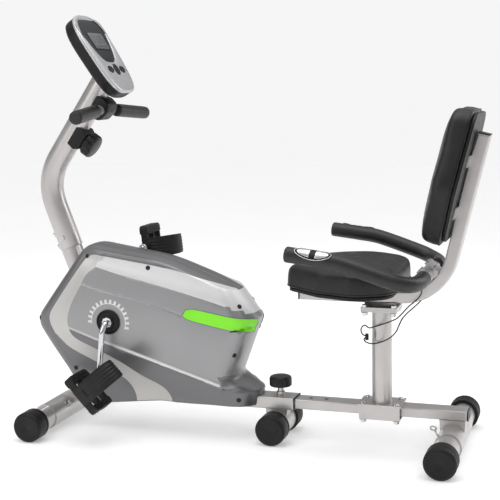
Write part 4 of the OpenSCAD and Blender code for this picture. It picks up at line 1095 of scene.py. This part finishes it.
PEDAL_TURN = {"left": 48, "right": 84}  # the lean that each pedal rests at, in degrees
STRAP_SHAPE = {"left": (106, -12), "right": (90, 14)}  # height over the pedal, and the tail's shift
PEDAL_HALF, PEDAL_OUT = 45.5, 179
TOE = [(-60, -45.5, 19), (-60, 45.5, 19), (-37, 45.5, 2), (-37, -45.5, 2)]
HEEL = [(36, -45.5, 2), (36, 45.5, 2), (55, 45.5, 15), (55, 4, 8), (48, 0, 4), (55, -4, 8), (55, -45.5, 15)]
TOOTH_ROWS = ((-53, 30), (-47, 38), (-41, 42), (-9, 42), (-3, 42), (3, 42), (9, 42), (41, 42), (48, 34))
TOOTH_PITCH = 5.6
BAND_ACROSS, BAND_ALONG = 24, 88  # cells of the strap's grid
BAND_HALF_WIDTH, BAND_BASE, LEG = 47.6, 24, 0.1


def add_pedals():
    for name, s in (("left", -1), ("right", 1)):
        end = ARM_END if s < 0 else turned_over(ARM_END)
        place = placed(end[0], s * PEDAL_OUT, end[2], PEDAL_TURN[name])
        bm = bmesh.new()
        add_plate(bm, rounded(TOE, 6, 60), -13, 12, 4)
        add_plate(bm, rounded(HEEL, 6, 60), -10, 13, 3)
        for y0, y1 in ((-PEDAL_HALF, -38), (-3.5, 3.5), (38, PEDAL_HALF)):
            block(bm, (-40, y0, -10), (40, y1, 10), 1.6)
        block(bm, (-13.5, -45.4, -11.5), (13.5, 45.4, 11.5), 3.2)
        for x, reach in TOOTH_ROWS:
            count = int(reach / TOOTH_PITCH)
            for k in range(count):
                y = (k - (count - 1) / 2) * 2 * reach / count
                for z0, z1 in ((11, 14.6), (-14.2, -10)):
                    block(bm, (x - 1.3, y - 3.6, z0), (x + 1.3, y + 3.6, z1), 0.5)
        bm.transform(place)
        body = from_bmesh(f"pedal_{name}_body", bm, [PEDAL], 30)
        own(weighted(body), f"{name}_pedal", "pedal_black", f"pedal_{name}")
        add_strap(name, place)


def add_strap(name, place):
    """A ribbed rubber band over the shoe, wide on the near side, with a slotted tail on the other."""
    height, shift = STRAP_SHAPE[name]
    across, along, rise = BAND_ACROSS, BAND_ALONG, height - BAND_BASE
    bm = bmesh.new()
    grid = []
    for j in range(along + 1):
        t = j / along
        leg = min(t, 1 - t) / LEG
        a = pi * (1 - min(1, max(0, (t - LEG) / (1 - 2 * LEG))))
        y, z = BAND_HALF_WIDTH * cos(a), 22 + rise * sin(a) - 30 * (1 - min(1, leg))
        out = Vector((0, cos(a) / BAND_HALF_WIDTH, sin(a) / rise)).normalized()
        taper = min(1, max(0, (t - 0.55) / 0.2))
        taper = taper * taper * (3 - 2 * taper)
        half = (25 + 3 * sin(pi * min(1, t / 0.6))) * (1 - taper) + 13 * taper
        row = []
        for i in range(across + 1):
            u = 2 * i / across - 1
            rib = 1.1 * (1 - taper) * (i % 4 in (1, 2)) if 2 < i < across - 2 and leg > 0.6 else 0
            row.append(bm.verts.new(place @ (Vector((u * half + shift * taper, y, z)) + rib * out)))
        grid.append(row)
    for j in range(along):
        end = along - 1 - j
        for i in range(across):
            slotted = 4 <= end <= 22 and end % 4 < 2 and 6 <= i < across - 6
            if not slotted:
                bm.faces.new((grid[j][i], grid[j][i + 1], grid[j + 1][i + 1], grid[j + 1][i]))
    band = from_bmesh(f"strap_{name}_band", bm, [STRAP], 180)
    thick = band.modifiers.new("thick", "SOLIDIFY")
    thick.thickness, thick.offset = 0.0032, 0
    soft = band.modifiers.new("soft", "BEVEL")
    soft.width, soft.segments, soft.angle_limit = 0.0007, 2, radians(50)
    own(weighted(band), f"{name}_pedal", "strap_rubber", f"strap_{name}")
    bm = bmesh.new()
    for y in (-48.6, 48.6):
        middle = shift if y > 0 else 0
        block(bm, (middle - 12, y - 3.2, 12), (middle + 12, y + 3.2, 19), 1.4)
    bm.transform(place)
    own(weighted(from_bmesh(f"strap_{name}_keepers", bm, [STRAP], 30)), f"{name}_pedal", "strap_rubber")


# ---------------- caps, knobs and clamps

CAP_FRONT = [(31.2, 0), (37.6, 0), (39.3, 0.7), (40, 2.6), (40, 9), (39.7, 9.8), (38.7, 10.2),
             (38.7, 11.8), (39.7, 12.2), (40, 13)]
CAP_BACK = [(40, 43), (39.7, 45.6), (38.6, 48.2), (36.4, 50.4), (33.6, 51.6), (31, 52), (30.2, 51.5),
            (26, 51.2), (6, 51), (5.4, 50.6), (0.2, 50.6)]
CAP_LENGTH = 52
REAR_GROOVES = (19, 25, 31, 37)


def add_caps():
    for node, x, half, body in (("front_caps", 0, 224, "frame"), ("mid_caps", 624, 92, "frame"),
                                ("rear_caps", 1077, 228, "seat")):
        grooves = [(r, h + d) for h in (REAR_GROOVES if node == "rear_caps" else ())
                   for r, d in ((40, 0), (39.1, 0.6), (39.1, 1.8), (40, 2.4))]
        for side, s, turn in SIDES:
            place = placed(x, s * (half - CAP_LENGTH), 40) @ turn
            own(lathe(f"{node}_{side}", CAP_FRONT + grooves + CAP_BACK, place, [CAP_RUBBER], 96),
                body, "black_plastic", *([node] if s < 0 else []))


def knob_profile(top, grow=0):
    """A knob's (radius, height) pairs: its rim wider by grow, its middle raised or sunk to top."""
    return [(7, 0), *((r + grow, h) for r, h in (
        (24, 0), (27.4, 1.0), (29, 3.2), (29, 5), (29, 20), (28.6, 22.5), (27.2, 24.8), (24.6, 26.4),
        (20.5, 27.6), (19.6, 27.2), (18.8, 27.4))), (12, top), (6, top + 0.5), (0.2, top + 0.6)]


def add_knobs():
    stem = [(4, 28), (4, 44), (12, 44.6), (15, 46), (16, 48.6)]
    own(lathe("tension_knob_stem", stem, DIAL_AXIS, [PLASTIC], 40), "tension_knob", "knob_black",
        "tension_knob")
    place = DIAL_AXIS @ Matrix.Translation((0, 0, 47))
    own(lathe("tension_knob_grip", knob_profile(28.8, 4), place, [KNOB], 192, grip=2.6),
        "tension_knob", "knob_black")
    place = placed(629, 0, 137)
    stem = [(5, -27), (5, -14), (8, -13.4), (8, -3), (13, -1.4), (14, 0.6)]
    own(lathe("lock_pin", stem, place, [STEEL], 40), "seat_lock", "knob_black", "lock_knob")
    own(lathe("lock_knob_grip", knob_profile(29), place, [KNOB], 192, grip=2.3),
        "seat_lock", "knob_black")


def add_mast_clamps():
    side = DIAL @ Matrix.Translation((0, 30, 0)) @ TO_LEFT
    outline = rounded([(8, -27, 4), (8, 27, 4), (30, 31, 9), (45.5, 22, 9), (45.5, -22, 9),
                       (30, -31, 9)], 6, 30)
    own(bevelled("tension_box", outline, 60, side, [PLASTIC], 5, 4), "frame", "black_plastic",
        "tension_housing")
    collar = [(11.5, 44.5), (19, 44.5), (20.5, 45.2), (20.5, 46.2), (19.6, 46.8), (11.5, 46.8)]
    own(lathe("tension_dial", collar, DIAL_AXIS, [PLASTIC], 64), "frame", "black_plastic")
    side = UP @ Matrix.Translation((0, 28, 183)) @ TO_LEFT
    outline = rounded([(12, -27, 5), (12, 27, 5), (34, 31.5, 12), (56, 27, 16), (63.5, 6, 14), (56, -27, 18),
                       (34, -31.5, 12)], 6, 30)
    own(bevelled("handlebar_clamp_shell", outline, 56, side, [PLASTIC], 6, 4), "frame", "black_plastic",
        "handlebar_clamp")
    for y in (-17, 17):
        place = UP @ Matrix.Translation((57, y, 183 + 14)) @ Matrix.Rotation(radians(74), 4, "Y")
        own(lathe(f"clamp_screw_{'left' if y < 0 else 'right'}",
                  [(4.6, -3), (4.6, 2.2), (4.1, 3), (2.6, 3), (2.3, 1.2), (0.2, 1.2)], place, [CHROME], 32),
            "frame", "black_plastic")


def add_cups():
    profile = [(31, -1.5), (33, -1.5), (33, 2.2), (32.3, 3.6), (30.8, 4.2), (29.2, 3.8), (27.5, 1.6),
               (20.5, 1.6), (18.6, 2.6), (17.6, 6), (16.8, 6.8), (13.2, 6.95), (12.1, 6.6), (12.1, -1.5)]
    for name, s, turn in SIDES:
        place = placed(CRANK_X, s * 86.15, CRANK_Z) @ turn
        own(lathe(f"crank_cup_{name}", profile, place, [PLASTIC], 96), "frame", "black_plastic",
            *(["crank_cups"] if name == "left" else []))
        nut = [(8.6, 2), (14.5, 2), (14.5, 8.2), (13.8, 9.2), (8.6, 9.2)]
        own(lathe(f"crank_cone_{name}", nut, place, [CHROME], 8), "crank", "chrome")


# ---------------- console

FACE = placed(166, 0, 1004.7, 58)


def squarish(middle, x_reach, y_reach, x_powers, y_powers):
    """A rounded outline: x down the face, y across. powers are (towards the top, towards the bottom)."""
    out = []
    for a in turns(96):
        c, s = cos(a), sin(a)
        x = x_reach * copysign(abs(c) ** x_powers[c >= 0], c)
        out.append(Vector((middle + x, y_reach(x) * copysign(abs(s) ** y_powers[c >= 0], s))))
    return out


def console_line(d):
    """The console's outline, drawn in by d."""
    return squarish(0, 119 - d, lambda x: 82 - 0.09 * x - d, (0.72, 0.56), (0.72, 0.56))


def window_line(d):
    """The dark window's outline, drawn in by d."""
    return squarish(-38, 66 - d, lambda x: 64 - 0.33 * x - d, (0.62, 0.62), (0.55, 0.55))


def face_rings(line, levels):
    """Rings on the console's face: a line drawn in by each level's first number, at its second."""
    return [[FACE @ Vector((p.x, p.y, z)) for p in line(d)] for d, z in levels]


KEY_PROFILE = [(1.0, -1), (1.0, 2.6), (0.97, 3.6), (0.9, 4.3), (0.75, 4.2), (0.5, 3.7), (0.2, 3.5)]
RIM_PROFILE = [(1.05, 1.0), (1.12, 1.0), (1.18, 1.4), (1.16, 2.3), (1.1, 2.6), (1.05, 2.3), (1.04, 1.2)]


WINDOW_BLOCKS, WINDOW_TICKS = 4, 9
BLANKS = ((-42, 0, 0), (-37, -5, 1), (-47, 5, 3))  # (x, y, block) of segments that are off
SEGMENTS = [(x, 0, 0.7, 4.5) for x in (-52, -42, -32)] + [(x, y, 4, 0.7) for x in (-47, -37) for y in (-5, 5)]


def add_console():
    back = face_rings(console_line, [(34, -40), (16, -40.5), (8, -39), (3, -35), (1.4, -28), (1, -9.2),
                                     (3, -8.6)])
    own(loft("console_back", back, [PLASTIC], smooth=50), "frame", "black_plastic", "console_case")
    outer, inner = console_line(9), window_line(-5)
    front = face_rings(console_line, [(3, -8.9), (0.6, -8.8), (0, -8), (0, -4.4), (0.7, -2.4), (2.4, -0.7),
                                      (5, 0.4), (9, 1.2)])
    front += face_rings(lambda t: [p.lerp(q, t) for p, q in zip(outer, inner)],
                        [(0.25, 1.9), (0.5, 2.0), (0.75, 1.7)])
    front += face_rings(window_line, [(-5, 1.0), (-2, 0.3), (-0.6, -0.4), (0.2, -1.8)])
    own(loft("console_front", front, [CONSOLE], caps=(True, False), smooth=60), "frame",
        "console_silver", "console_bezel")
    glass = face_rings(window_line, [(-0.2, -2.4), (0.2, -0.9), (1.2, -0.4), (8, 0.1), (24, 0.5), (44, 0.6)])
    own(loft("console_glass", glass, [WINDOW], smooth=60), "frame", "console_dark", "console_window")
    frame_line = rounded([(-66, -46, 5), (-66, 46, 5), (-8, 42, 5), (-8, -42, 5)], 5, 30)
    own(bevelled("lcd_frame", frame_line, 0.9, FACE @ Matrix.Translation((0, 0, 0.2)), [KNOB], 0.3, 2),
        "frame", "console_dark")
    lcd_line = rounded([(-61, -41.5, 2), (-61, 41.5, 2), (-13, 38, 2), (-13, -38, 2)], 4, 30)
    own(bevelled("lcd", lcd_line, 0.5, FACE @ Matrix.Translation((0, 0, 0.8)), [LCD], 0.1, 2), "frame",
        "console_dark")
    bm = bmesh.new()
    for k in range(WINDOW_BLOCKS):
        for x, y, long, wide in SEGMENTS:
            if (x, y, k) not in BLANKS:
                middle = 17 * k - 25.5 + y
                block(bm, (x - long, middle - wide, 1.25), (x + long, middle + wide, 1.42))
    for k in range(WINDOW_TICKS):
        block(bm, (-19.5 - 0.5 * k, -33 + 7.4 * k, 1.25), (-17, -29 + 7.4 * k, 1.42))
    bm.transform(FACE)
    own(from_bmesh("lcd_segments", bm, [LCD_INK], 30), "frame", "console_dark")
    for name, y, wide, tall in (("left", -34, 14, 10.5), ("center", 0, 13, 17), ("right", 34, 14, 10.5)):
        place = FACE @ Matrix.Translation((52, y, 0))
        key, rim = ([[place @ Vector((tall * s * cos(a), wide * s * sin(a), h)) for a in turns(56)]
                     for s, h in profile] for profile in (KEY_PROFILE, RIM_PROFILE))
        own(loft(f"button_{name}_key", key, [KEY], smooth=50), f"{name}_button", "button_rubber",
            f"button_{name}")
        own(loft(f"button_{name}_rim", rim, [CONSOLE], caps=(False, False), smooth=50), "frame",
            "console_silver")


# ---------------- making

add_floor()
add_camera()
add_studio()
add_leads()
add_pads()

shells = add_shroud()
for sign, shell in shells.items():
    add_stripe(shell, sign)
add_shroud_trim(shells)
add_cups()

add_mast()
add_handlebar()
add_armrests()
add_crank()
add_pedals()
add_caps()
add_knobs()
add_mast_clamps()
add_console()


def on_flank(half):
    """Picks the long corners of a rectangular tube, which lie at |y| = half."""
    return lambda e: all(abs(abs(v.co.y) - half) < 2e-5 for v in e.verts)


for node, half, corner in (("keel", 0.030, 4.0), ("slide_rail", 0.025, 3.5), ("seat_frame", 0.025, 4.5)):
    rounded_copy(node, 0.5, corner, on_flank(half))
for node, edge in (("front_post", 0.8), ("front_stabilizer", 0.8), ("mid_stabilizer", 0.8),
                   ("rear_stabilizer", 0.6), ("tube_plugs", 0.7), ("rail_bush", 0.7), ("seat_post", 0.8),
                   ("post_saddle", 0.8), ("seat_bolts", 0.4), ("frame_bolts", 0.4), ("seat_pan", 1.2),
                   ("back_board", 1.5), ("arm_clamp", 2.0)):
    rounded_copy(node, edge)
